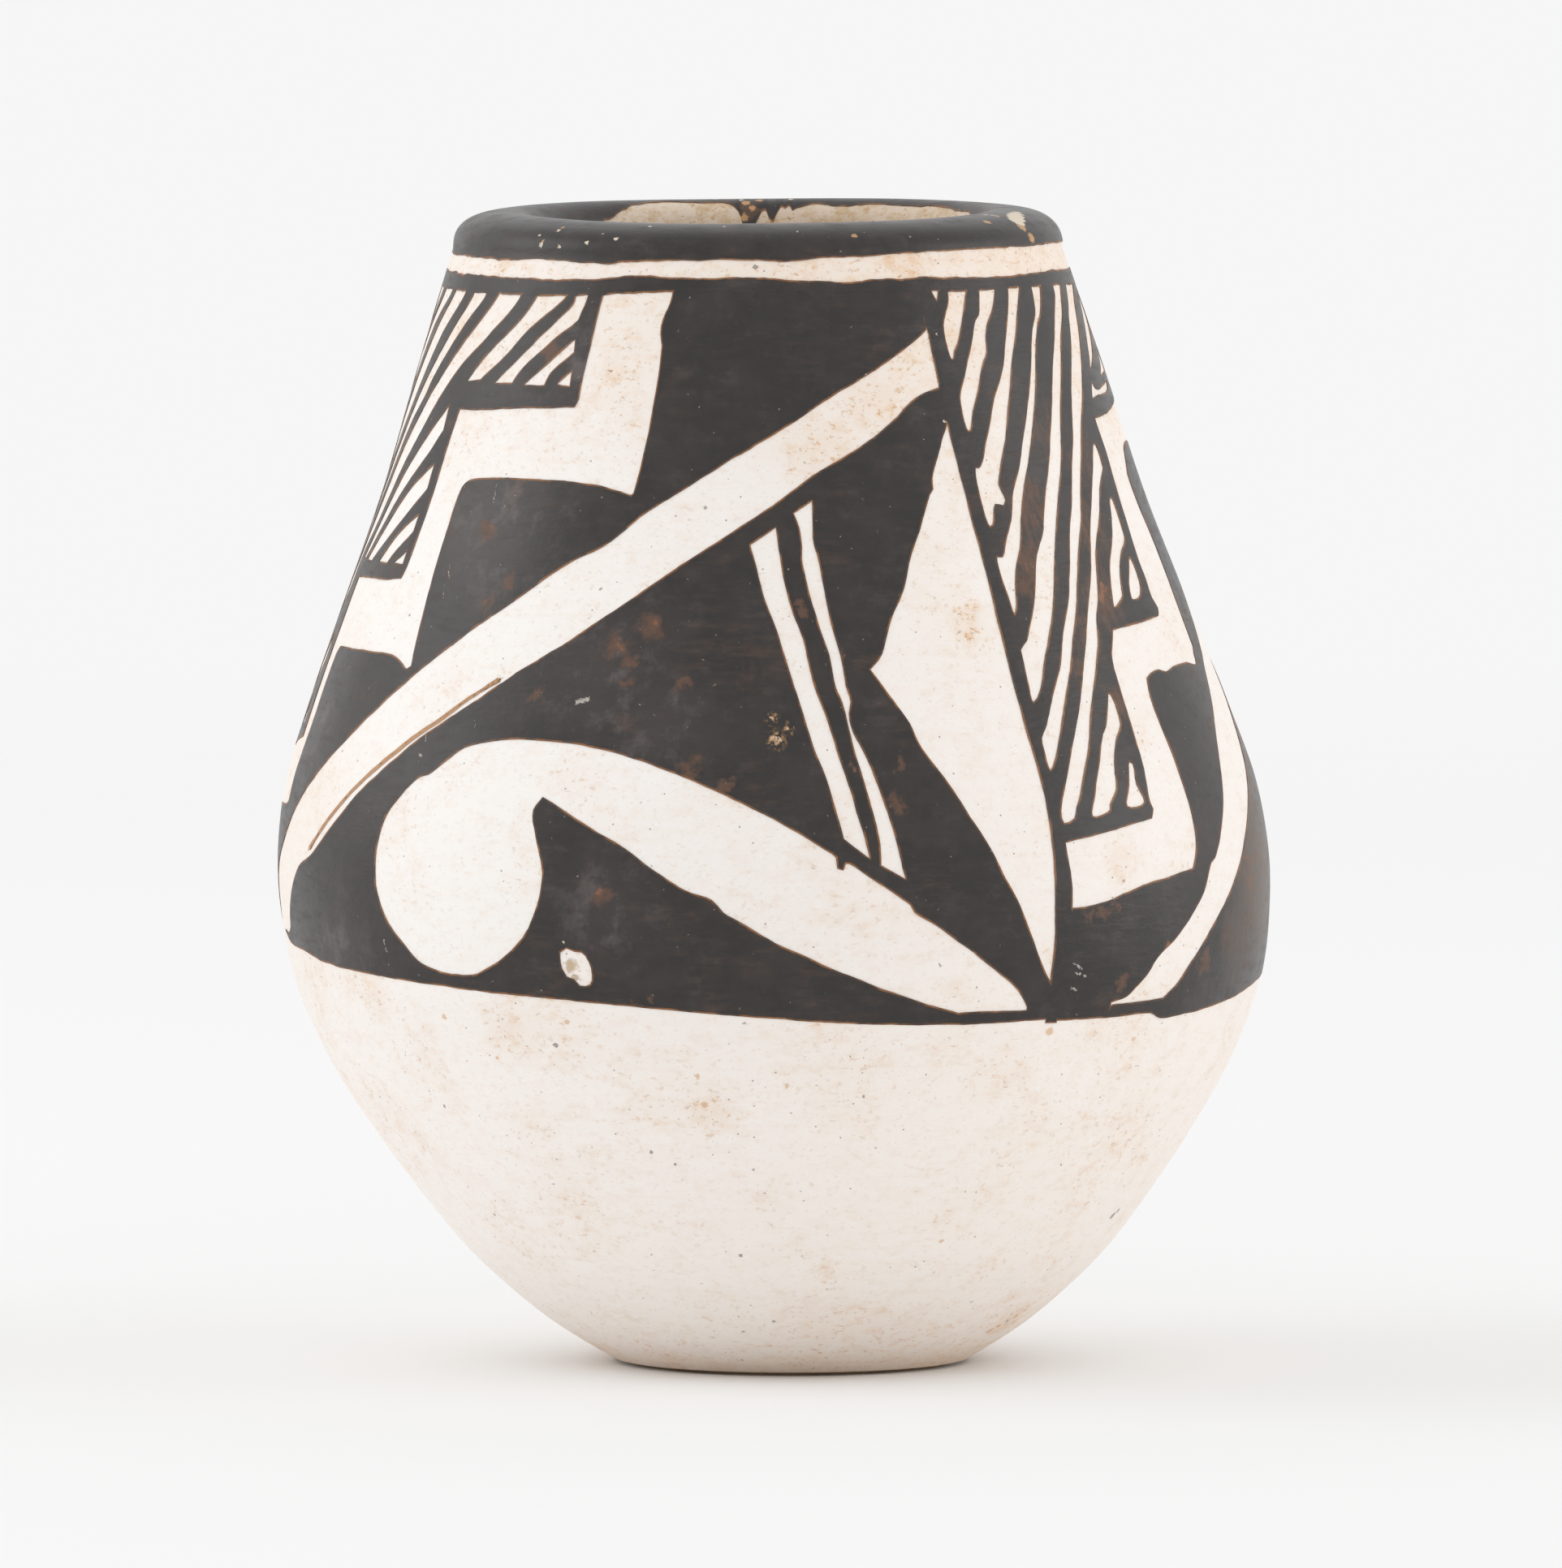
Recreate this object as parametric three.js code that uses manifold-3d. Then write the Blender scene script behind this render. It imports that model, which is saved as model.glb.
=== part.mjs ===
// A small hand-built pottery jar with black paint on white slip, in the pieces it was made from:
// a moulded base dish, wall coils and a rim coil, the slip coat over them, and the painted films.
// Millimetres, +Z up, origin at the centre of the resting foot, and -Y is the side that is looked at.
import * as THREE from 'three';
import { mergeVertices } from 'three/addons/utils/BufferGeometryUtils.js';
import Module from 'manifold-3d';

const wasm = await Module();
wasm.setup();

// Whole jar
const jarHeight = 76;
const neckOffset = 2.15;
const neckOffsetBow = 0.3;

// Outer face of the clay wall: radius at named heights
const footRadius = 11.2;
const underbowlHeight = 9.5;
const underbowlRadius = 22;
const bowlHeight = 19;
const bowlRadius = 28.6;
const bellyHeight = 32;
const bellyRadius = 32.4;
const shoulderHeight = 43;
const shoulderRadius = 30.05;
const upperShoulderHeight = 57.5;
const upperShoulderRadius = 24.55;
const neckRadius = 19.6;

// Lip and wall
const lipRise = 2.4;
const lipCrestRadius = 16.2;
const throatRadius = 14.5;
const wallThickness = 4;
const floorThickness = 5.2;

// Clay pieces, from the base up
const dishHeight = 9.5;
const coilHeight = 9.4;
const rimCoilHeight = 9.4;

// Coats
const slipThickness = 0.3;
const slipStart = 2.5;
const paintThickness = 0.12;
const coatClearance = 0.005;

// Painted lines and bands
const collarDrop = 5.1;
const collarLineWidth = 0.95;
const whiteStripeWidth = 1.25;
const rimPaintDepth = 4.5;
const designBottom = 24;

// Panel borders round the jar, in degrees from the front towards +X
const frontPanelAngle = -104;
const rightPanelAngle = 34.5;
const backPanelAngle = 145.25;

// Facets
const segments = 28;
const bowlRows = 2;
const neckRows = 1;
const lipSteps = 3;
const floorSteps = 4;
const ovalSteps = 18;
const fullTurn = 360;
const facetAngle = fullTurn / segments;

// Nearness, in millimetres, at which two corners count as one, or a corner as on a fold line
const weldTolerance = 1e-4;
const foldTolerance = 1e-5;

const clayTop = jarHeight - slipThickness - coatClearance - paintThickness;
const lipStart = clayTop - lipRise;
const rimCoilStart = clayTop - rimCoilHeight;
const collarLineStart = jarHeight - collarDrop;
const rimPaintStart = collarLineStart + collarLineWidth + whiteStripeWidth;

const clay = new THREE.MeshStandardMaterial({ color: 0xc8ad8c, roughness: 0.9, metalness: 0 });
const slip = new THREE.MeshStandardMaterial({ color: 0xece4da, roughness: 0.7, metalness: 0 });
const paint = new THREE.MeshStandardMaterial({ color: 0x3a3532, roughness: 0.55, metalness: 0 });

const group = new THREE.Group();

// Smooth curve through stations of height and radius, with a parabola's slope at each station
function smoothCurve(stations) {
  const last = stations.length - 1;
  const gap = (i) => stations[i + 1][0] - stations[i][0];
  const rise = (i) => (stations[i + 1][1] - stations[i][1]) / gap(i);
  const slopeAt = (i) => {
    if (i === 0) return rise(0) + gap(0) * (rise(0) - rise(1)) / (gap(0) + gap(1));
    if (i === last) {
      return rise(last - 1) + gap(last - 1) * (rise(last - 1) - rise(last - 2)) / (gap(last - 1) + gap(last - 2));
    }
    return (gap(i) * rise(i - 1) + gap(i - 1) * rise(i)) / (gap(i - 1) + gap(i));
  };
  const slopes = stations.map((_, i) => slopeAt(i));
  return (height) => {
    let i = 0;
    while (i < last - 1 && height > stations[i + 1][0]) i += 1;
    const h = gap(i);
    const t = (height - stations[i][0]) / h;
    const start = (2 * t ** 3 - 3 * t ** 2 + 1) * stations[i][1] + (t ** 3 - 2 * t ** 2 + t) * h * slopes[i];
    const end = (3 * t ** 2 - 2 * t ** 3) * stations[i + 1][1] + (t ** 3 - t ** 2) * h * slopes[i + 1];
    return start + end;
  };
}

const outerRadius = smoothCurve([
  [0, footRadius],
  [underbowlHeight, underbowlRadius],
  [bowlHeight, bowlRadius],
  [bellyHeight, bellyRadius],
  [shoulderHeight, shoulderRadius],
  [upperShoulderHeight, upperShoulderRadius],
  [lipStart, neckRadius],
]);

// The wall keeps its thickness square to its face, and thickens into the lip above the shoulder
function levelWall(height) {
  const step = 0.5;
  const slope = (outerRadius(height + step) - outerRadius(height - step)) / (2 * step);
  return wallThickness * Math.hypot(1, slope);
}

function innerRadius(height) {
  const climb = Math.max(0, (height - shoulderHeight) / (lipStart - shoulderHeight));
  const lipExtra = neckRadius - throatRadius - levelWall(lipStart);
  return outerRadius(height) - levelWall(height) - lipExtra * climb ** 2;
}

// The neck stands a little to one side of the foot
function leanAt(height) {
  return -neckOffset * height / clayTop - neckOffsetBow * Math.sin(Math.PI * height / clayTop);
}

function evenSteps(from, to, steps) {
  return Array.from({ length: steps + 1 }, (_, i) => from + (to - from) * i / steps);
}

const point = (radius, height) => new THREE.Vector2(radius, height);

// Heights of the facet rows of each clay piece
const coilCount = Math.max(1, Math.round((rimCoilStart - dishHeight) / coilHeight));
const jointHeights = evenSteps(dishHeight, rimCoilStart, coilCount);
const dishRows = [0, ...evenSteps(slipStart, dishHeight, bowlRows)];
const coilRows = jointHeights.slice(1).map((top, i) => (
  evenSteps(jointHeights[i], top, jointHeights[i] < shoulderHeight ? bowlRows : neckRows)
));
const rimRows = evenSteps(rimCoilStart, lipStart, neckRows);

const outerFace = (heights) => heights.map((height) => point(outerRadius(height), height));
const innerFace = (heights) => [...heights].reverse().map((height) => point(innerRadius(height), height));

// Quarter ellipses over the lip, from the outer face to the throat
function lipArc() {
  return evenSteps(0, Math.PI, 2 * lipSteps).slice(1, -1).map((angle) => {
    const reach = angle < Math.PI / 2 ? neckRadius - lipCrestRadius : lipCrestRadius - throatRadius;
    return point(lipCrestRadius + reach * Math.cos(angle), lipStart + lipRise * Math.sin(angle));
  });
}

// Closed mesh with shared corners and its faces outwards, from loose or indexed triangles
function closedGeometry(source) {
  source.deleteAttribute('normal');
  source.deleteAttribute('uv');
  const merged = mergeVertices(source, weldTolerance);
  const index = merged.index.array;
  const corners = merged.attributes.position;
  const kept = [];
  let volume = 0;
  const [a, b, c] = [new THREE.Vector3(), new THREE.Vector3(), new THREE.Vector3()];
  for (let i = 0; i < index.length; i += 3) {
    const [p, q, r] = [index[i], index[i + 1], index[i + 2]];
    if (p !== q && q !== r && r !== p) {
      kept.push(p, q, r);
      a.fromBufferAttribute(corners, p);
      b.fromBufferAttribute(corners, q);
      c.fromBufferAttribute(corners, r);
      volume += a.dot(b.cross(c));
    }
  }
  if (volume < 0) {
    for (let i = 0; i < kept.length; i += 3) [kept[i + 1], kept[i + 2]] = [kept[i + 2], kept[i + 1]];
  }
  merged.setIndex(kept);
  return merged;
}

function leaned(geometry) {
  const corners = geometry.attributes.position;
  for (let i = 0; i < corners.count; i += 1) corners.setX(i, corners.getX(i) + leanAt(corners.getZ(i)));
  return geometry;
}

// Solid of revolution about Z, with the seam at the front
function turned(profile) {
  const lathe = new THREE.LatheGeometry(profile, segments);
  lathe.rotateX(Math.PI / 2);
  return leaned(closedGeometry(lathe));
}

function addPiece(name, geometry, material) {
  geometry.computeVertexNormals();
  const mesh = new THREE.Mesh(geometry, material);
  mesh.name = name;
  group.add(mesh);
}

// Clay pieces
function baseDish() {
  const rimInside = innerRadius(dishHeight);
  const hollowDepth = dishHeight - floorThickness;
  const hollow = evenSteps(0, Math.PI / 2, floorSteps).map((angle) => (
    point(rimInside * Math.cos(angle), dishHeight - hollowDepth * Math.sin(angle))
  ));
  hollow[floorSteps].x = 0;
  return turned([point(0, 0), ...outerFace(dishRows), ...hollow]);
}

function wallCoil(heights) {
  const outside = outerFace(heights);
  return turned([...outside, ...innerFace(heights), outside[0].clone()]);
}

function rimCoil() {
  const outside = outerFace(rimRows);
  return turned([...outside, ...lipArc(), ...innerFace(rimRows), outside[0].clone()]);
}

addPiece('base_dish', baseDish(), clay);
coilRows.forEach((heights, i) => addPiece(`wall_coil_${i + 1}`, wallCoil(heights), clay));
addPiece('rim_coil', rimCoil(), clay);

// A line offset to its left-hand side going up the outside, with mitred corners
function offsetLine(line, distance) {
  return line.map((corner, i) => {
    const before = line[Math.max(i - 1, 0)];
    const after = line[Math.min(i + 1, line.length - 1)];
    const into = (i > 0 ? corner.clone().sub(before) : after.clone().sub(corner)).normalize();
    const away = (i < line.length - 1 ? after.clone().sub(corner) : corner.clone().sub(before)).normalize();
    const normal = point(into.y + away.y, -into.x - away.x).normalize();
    const mitre = normal.x * into.y - normal.y * into.x;
    return corner.clone().addScaledVector(normal, distance / mitre);
  });
}

// Slip: from just above the foot, over the lip and down inside to the rim coil's joint
const outsideRows = [...dishRows.slice(1), ...coilRows.flatMap((heights) => heights.slice(1)), ...rimRows.slice(1)];
const clayLine = [...outerFace(outsideRows), ...lipArc(), ...innerFace(rimRows)];
const slipLine = offsetLine(clayLine, slipThickness);

function film(line, innerOffset, outerOffset) {
  const under = offsetLine(line, innerOffset);
  const over = offsetLine(line, outerOffset);
  return turned([...under, ...over.reverse(), under[0].clone()]);
}

addPiece('white_slip', film(clayLine, 0, slipThickness), slip);

// Part of the slip's line, from a height outside to a height inside or a greater one outside
function outsideIndex(height) {
  let i = 0;
  while (slipLine[i + 1].y < height) i += 1;
  return i;
}

function onSlip(i, height) {
  const t = (height - slipLine[i].y) / (slipLine[i + 1].y - slipLine[i].y);
  return slipLine[i].clone().lerp(slipLine[i + 1], t);
}

function lipSection(startHeight, endHeight) {
  const first = outsideIndex(startHeight);
  let last = slipLine.length - 1;
  while (slipLine[last - 1].y < endHeight) last -= 1;
  return [onSlip(first, startHeight), ...slipLine.slice(first + 1, last), onSlip(last - 1, endHeight)];
}

function collarSection(startHeight, endHeight) {
  const first = outsideIndex(startHeight);
  const last = outsideIndex(endHeight);
  return [onSlip(first, startHeight), ...slipLine.slice(first + 1, last + 1), onSlip(last, endHeight)];
}

const filmTop = coatClearance + paintThickness;
const rimPaintLine = lipSection(rimPaintStart, jarHeight - rimPaintDepth);
const collarLine = collarSection(collarLineStart, collarLineStart + collarLineWidth);
addPiece('rim_paint', film(rimPaintLine, coatClearance, filmTop), paint);
addPiece('collar_line', film(collarLine, coatClearance, filmTop), paint);

// The painted design is drawn flat: degrees round the jar across, millimetres above the foot up.
// The drawing runs between these two heights, and is stretched to the heights that the jar has.
const drawnBottom = 24;
const drawnTop = 70.9;
const edgeOverrun = 1;

function jarHeightOf(drawnHeight) {
  const share = (drawnHeight - drawnBottom) / (drawnTop - drawnBottom);
  return designBottom + share * (collarLineStart - designBottom);
}

// A flat shape as a solid sheet: its two faces are layers 0 and 1
function sheet(shape) {
  const settings = { depth: 1, bevelEnabled: false, curveSegments: ovalSteps };
  const flat = closedGeometry(new THREE.ExtrudeGeometry(shape, settings));
  return new wasm.Manifold(new wasm.Mesh({
    numProp: 3,
    vertProperties: new Float32Array(flat.attributes.position.array),
    triVerts: new Uint32Array(flat.index.array),
  }));
}

const drawnShape = (corners) => new THREE.Shape(corners.map(([across, up]) => point(across, up)));
const area = (corners) => sheet(drawnShape(corners));

// A brush stroke: a line through points, as wide across as given in degrees
function stroke(width, ...line) {
  const left = line.map(([across, up]) => [across - width / 2, up]);
  const right = line.map(([across, up]) => [across + width / 2, up]);
  return area([...right, ...left.reverse()]);
}

function oval(across, up, halfWidth, halfHeight) {
  const shape = new THREE.Shape();
  shape.absellipse(across, up, halfWidth, halfHeight, 0, 2 * Math.PI, false, 0);
  return sheet(shape);
}

const joined = (sheets) => sheets.reduce((whole, piece) => whole.add(piece));
const without = (whole, ...cuts) => cuts.reduce((rest, cut) => rest.subtract(cut), whole);

// Border line between two panels, drawn for the border at 0 degrees: its left edge, then its right
const borderLeft = [
  [-4.3, drawnTop + edgeOverrun], [-4, 65], [-3, 60], [-2.1, 52], [-1.5, 43], [-0.7, 35], [-1.2, 26.4],
  [-1.3, drawnBottom],
];
const borderRight = [
  [0.5, drawnBottom], [1, 25.5], [1.6, 31.6], [1.2, 38], [0.4, 42], [0.9, 50.3], [0.3, 60], [-0.7, 69],
  [-1.2, drawnTop + edgeOverrun],
];

// Front panel. Its drawing starts at its left border, -104 degrees, and ends at 34.5 degrees.
const frontDrawing = {
  start: -104,
  end: 34.5,
  hatching: () => [
    area([[-62, 63.3], [-31, 63.4], [-31, 64.7], [-62, 64.7]]),
    area([[-33.2, 63.4], [-31, 63.4], [-29.2, 71.9], [-32, 71.9]]),
    area([[-62.7, 52.1], [-61.3, 52.1], [-58, 63.4], [-58, 64.7], [-61.4, 64.7]]),
    area([[-83.6, 51.8], [-61.3, 52.1], [-61.3, 52.9], [-83.6, 52.8]]),
    area([[-83.9, 41.1], [-81.3, 41.1], [-80.4, 52.8], [-83.4, 52.8]]),
    area([[-105, 39.6], [-81.3, 41.1], [-81.3, 42.1], [-105, 40.7]]),
    stroke(2.6, [-32.6, 66.8], [-38.5, 64]),
    stroke(3.2, [-32.2, 68.8], [-46.2, 64]),
    stroke(3.6, [-33, 71.9], [-44, 68.2], [-54, 64]),
    stroke(4.6, [-43.6, 71.9], [-59, 65.3], [-68, 61.8], [-76, 57.6], [-82, 52.4]),
    stroke(3.6, [-53.6, 71.9], [-64, 67.7], [-72, 63.6], [-80, 58.8], [-89, 51], [-99, 41]),
    stroke(3.4, [-62.4, 71.9], [-76, 64.9], [-84, 59.2], [-93, 51.5], [-104.5, 41]),
    stroke(3, [-70.6, 71.9], [-82, 66.3], [-91, 59.7], [-104.5, 47.6]),
    stroke(3, [-79, 71.9], [-94, 62.8], [-104.5, 54]),
    stroke(3, [-88, 71.9], [-106, 59.5]),
    stroke(2.8, [-97, 71.9], [-106, 65.6]),
    stroke(2, [-61.8, 55], [-69, 52.3]),
    stroke(3, [-61, 57.6], [-75, 52.2]),
    stroke(4, [-60.6, 61.2], [-70, 57.4], [-81, 52.2]),
    stroke(2.6, [-82.4, 50.4], [-98, 40.6]),
    stroke(2.4, [-82.6, 46], [-91, 41]),
  ],
  steppedField: () => area([
    [-105, 24.6], [-97, 24.8], [-94, 27], [-88, 32.4], [-80, 34.7], [-64, 41.5], [-48, 47.4], [-24.5, 54.5],
    [-8, 59.4], [8, 63.4], [30.4, 68.5], [34, 71.9], [-15.4, 71.9], [-17.2, 68.3], [-20, 58], [-28, 58.7],
    [-50, 58.8], [-52.7, 58], [-53.6, 51], [-53.3, 46.8], [-58, 47.3], [-76.8, 47.4], [-77.6, 42],
    [-79.6, 37.1], [-105, 36],
  ]),
  scrollField: () => area([
    [-96.6, 24.6], [-90, 27], [-83, 28.6], [-78, 29.2], [-74, 32.3], [-68, 34.2], [-56, 39], [-44, 43.4],
    [-28, 48.4], [-4, 55.9], [8, 59.4], [20, 62.4], [26, 64.2], [30.6, 64.8], [32.6, 62.6], [31, 62.6],
    [26, 58.2], [22, 55], [18, 51], [13.3, 47], [20, 41], [26, 35], [31, 29.4], [33.3, 26.4], [34, 24.3],
    [12, 24.3], [0, 24.8], [-20, 25.6], [-44, 26.4], [-66, 27.1], [-80, 28], [-88, 26], [-96.4, 23.9],
  ]),
  commaHead: () => oval(-40, 34.6, 12.4, 7.4),
  commaTail: () => area([
    [-37, 41.6], [-30, 42.4], [-24, 42.2], [-15, 41.2], [-6, 39.3], [0, 37.7], [8, 35], [16, 31.9],
    [24, 28.6], [30.4, 25.2], [21.5, 25.1], [12, 26.8], [4, 28.7], [-4, 31.1], [-12, 33.8], [-20, 36.6],
    [-27.6, 38.85], [-33, 37],
  ]),
  leftStripe: () => area([
    [-2, 54.9], [1.7, 56], [2.6, 52.3], [5, 48], [8, 42], [9.9, 38], [11.1, 35.2], [8.3, 36], [6.6, 40],
    [4.4, 44], [1.7, 49], [-0.9, 53],
  ]),
  rightStripe: () => area([
    [4.5, 56.9], [7.3, 57.6], [7.5, 54], [8.6, 50], [10.2, 45], [12.5, 40], [15.1, 33.8], [12.5, 34.6],
    [12.1, 37], [11.1, 40], [9.2, 45], [8, 48], [6.4, 51], [5.3, 54],
  ]),
};

// Right panel. The front drawing, narrower, with its own steps and band near the border at 34.5 degrees.
const rightDrawing = {
  start: 34.5,
  end: 145.25,
  hatching: () => [
    area([[34.5, 35.8], [50, 37], [50.4, 38.1], [34.5, 37]]),
    area([[49, 37.4], [50.4, 37.4], [50.8, 48], [52.2, 50], [49, 50], [48.5, 44]]),
    area([[50, 49], [60, 49.3], [66.8, 50], [66.6, 50.9], [50, 50.6]]),
    area([[64.4, 50.2], [66.6, 50.2], [67.3, 55], [68.4, 60], [68.2, 63.4], [66, 63.4], [65.3, 60]]),
    area([[66, 62.4], [93.2, 63.6], [93.2, 64.9], [66, 63.7]]),
    area([[91.2, 63.8], [93.2, 63.6], [94.8, 71.9], [92.4, 71.9]]),
    stroke(2.6, [43.6, 71.9], [38.2, 68.2], [33.6, 64.8]),
    stroke(4, [51.2, 71.9], [42.6, 66.1], [37.4, 62.3], [33.8, 60]),
    stroke(3.6, [58.6, 71.9], [51.5, 67], [45, 62], [40.5, 58.9], [34, 54.4]),
    stroke(4.2, [67, 71.9], [58, 66.7], [51, 61.5], [43.5, 56], [38.5, 51.5], [34.2, 48.2]),
    stroke(3.6, [75.8, 71.9], [64, 66.3], [56, 60], [46.6, 53], [39.6, 48], [34.4, 43.6]),
    stroke(3.2, [84.6, 71.9], [72, 65.4], [60, 58.6], [51.4, 53], [44.6, 47.8], [34.6, 39.4]),
    stroke(3, [91.6, 71.9], [80, 67], [70, 63]),
    stroke(3, [91.8, 67.6], [82, 63.8]),
    stroke(2.8, [66, 59.8], [56.6, 54], [49.6, 48.2], [44, 42.6], [38.4, 36.8]),
    stroke(2.4, [65, 55], [57.4, 50.2]),
    stroke(2.4, [49, 43.4], [44, 37.6]),
  ],
  steppedField: () => area([
    [34.5, 24.3], [42.4, 24.3], [42.8, 25.4], [50, 28.8], [57, 31.4], [62, 34.5], [67, 39], [70, 42],
    [76, 46.3], [90, 53.6], [98, 56.2], [111, 59.4], [124, 63.4], [141.9, 68.5], [144.8, 71.9],
    [105.4, 71.9], [104, 68.3], [101.7, 58.2], [95, 58.9], [77.6, 59.2], [76.2, 58], [77.3, 52],
    [76, 47.4], [74.5, 46.5], [57.8, 46.3], [56.6, 44.5], [58, 36], [57, 33.9], [50, 33.2], [34.5, 31.6],
  ]),
  scrollField: () => area([
    [42.6, 24.3], [43.2, 25.2], [52, 25.5], [60, 29.1], [70, 34.2], [80, 39.4], [95, 48.1], [114, 55.6],
    [124, 59.4], [133.7, 62.6], [142, 64.8], [143.4, 62.6], [142, 62.6], [138.2, 58.2], [135, 55],
    [131.8, 51], [128, 47], [133.4, 41], [138.2, 35], [142.2, 29.4], [144, 26.4], [144.6, 24.3],
    [127, 24.3], [117, 24.8], [101, 25.6], [80, 25.6], [70, 24.8], [62, 24.2], [53, 24],
  ]),
  commaHead: () => oval(87.4, 33.4, 9.4, 6.3),
  commaTail: () => area([
    [89.6, 39.4], [98, 39.9], [105.6, 39.4], [113, 38.3], [117.6, 37], [124, 34.7], [130.4, 31.9],
    [136.8, 28.6], [142, 25.2], [134.8, 25.1], [127, 26.8], [120.8, 28.7], [114.4, 31.1], [108, 33.4],
    [101.6, 35.4], [96, 36.8], [91, 35.4],
  ]),
  leftStripe: () => area([
    [116.1, 54.9], [119, 56], [119.7, 52.3], [121.6, 48], [124, 42], [125.5, 38], [126.5, 35.4],
    [124.3, 36], [122.9, 40], [121.1, 44], [119, 49], [117, 53],
  ]),
  rightStripe: () => area([
    [121.4, 56.9], [123.6, 57.6], [123.8, 54], [124.7, 50], [126, 45], [127.8, 40], [129.9, 33.8],
    [127.8, 34.6], [127.4, 37], [126.6, 40], [125.1, 45], [124.1, 48], [122.8, 51], [122, 54],
  ]),
};

// Cuts every triangle where it crosses a level of one axis, so that facets can fold there
function splitAt(mesh, axis, level) {
  const side = (i) => {
    const distance = mesh.points[i][axis] - level;
    return Math.abs(distance) < foldTolerance ? 0 : Math.sign(distance);
  };
  const cutPoints = new Map();
  const cut = (i, j) => {
    const [low, high] = i < j ? [i, j] : [j, i];
    const key = `${low}/${high}`;
    if (!cutPoints.has(key)) {
      const [from, to] = [mesh.points[low], mesh.points[high]];
      const t = (level - from[axis]) / (to[axis] - from[axis]);
      cutPoints.set(key, mesh.points.length);
      mesh.points.push(from.map((value, k) => (k === axis ? level : value + (to[k] - value) * t)));
    }
    return cutPoints.get(key);
  };
  mesh.triangles = mesh.triangles.flatMap((corners) => {
    const sides = corners.map(side);
    if (Math.min(...sides) >= 0 || Math.max(...sides) <= 0) return [corners];
    const middle = sides.indexOf(0);
    if (middle >= 0) {
      const [on, next, before] = [0, 1, 2].map((k) => corners[(middle + k) % 3]);
      const between = cut(next, before);
      return [[on, next, between], [on, between, before]];
    }
    const alone = sides.findIndex((value) => sides.filter((other) => other === value).length === 1);
    const [tip, next, before] = [0, 1, 2].map((k) => corners[(alone + k) % 3]);
    const nextCut = cut(tip, next);
    const beforeCut = cut(before, tip);
    return [[tip, nextCut, beforeCut], [nextCut, next, before], [nextCut, before, beforeCut]];
  });
}

// Lays a flat sheet on the slip's facets
const underLine = offsetLine(slipLine, coatClearance);
const overLine = offsetLine(slipLine, filmTop);

function laidOnSlip([across, height, layer]) {
  const row = outsideIndex(height);
  const t = (height - slipLine[row].y) / (slipLine[row + 1].y - slipLine[row].y);
  const line = layer > 0 ? overLine : underLine;
  const place = line[row].clone().lerp(line[row + 1], t);
  const facet = Math.floor((across + foldTolerance) / facetAngle);
  const share = across / facetAngle - facet;
  const [from, to] = [facet, facet + 1].map((i) => THREE.MathUtils.degToRad(i * facetAngle));
  const x = place.x * (Math.sin(from) + (Math.sin(to) - Math.sin(from)) * share);
  const y = -place.x * (Math.cos(from) + (Math.cos(to) - Math.cos(from)) * share);
  return [x, y, place.y];
}

// Stretches a drawing to its panel, folds it along the facets and lays it on the jar
function painted(drawnSheet, drawing, panelStart, stretch) {
  const band = area([
    [drawing.start - fullTurn, drawnBottom - edgeOverrun], [drawing.end + fullTurn, drawnBottom - edgeOverrun],
    [drawing.end + fullTurn, drawnTop - coatClearance], [drawing.start - fullTurn, drawnTop - coatClearance],
  ]);
  const flat = drawnSheet.intersect(band).getMesh();
  const points = Array.from({ length: flat.vertProperties.length / 3 }, (_, i) => {
    const [across, up, layer] = flat.vertProperties.slice(3 * i, 3 * i + 3);
    return [panelStart + (across - drawing.start) * stretch, jarHeightOf(up), layer];
  });
  const triangles = Array.from({ length: flat.triVerts.length / 3 }, (_, i) => (
    Array.from(flat.triVerts.slice(3 * i, 3 * i + 3))
  ));
  const mesh = { points, triangles };
  const acrossValues = points.map((corner) => corner[0]);
  const firstFold = Math.ceil(Math.min(...acrossValues) / facetAngle);
  const lastFold = Math.floor(Math.max(...acrossValues) / facetAngle);
  for (let fold = firstFold; fold <= lastFold; fold += 1) splitAt(mesh, 0, fold * facetAngle);
  slipLine.slice(0, outsideRows.length).forEach((corner) => splitAt(mesh, 1, corner.y));
  const geometry = new THREE.BufferGeometry();
  const corners = new Float32Array(mesh.points.flatMap(laidOnSlip));
  geometry.setAttribute('position', new THREE.BufferAttribute(corners, 3));
  geometry.setIndex(mesh.triangles.flat());
  return leaned(closedGeometry(geometry));
}

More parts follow.
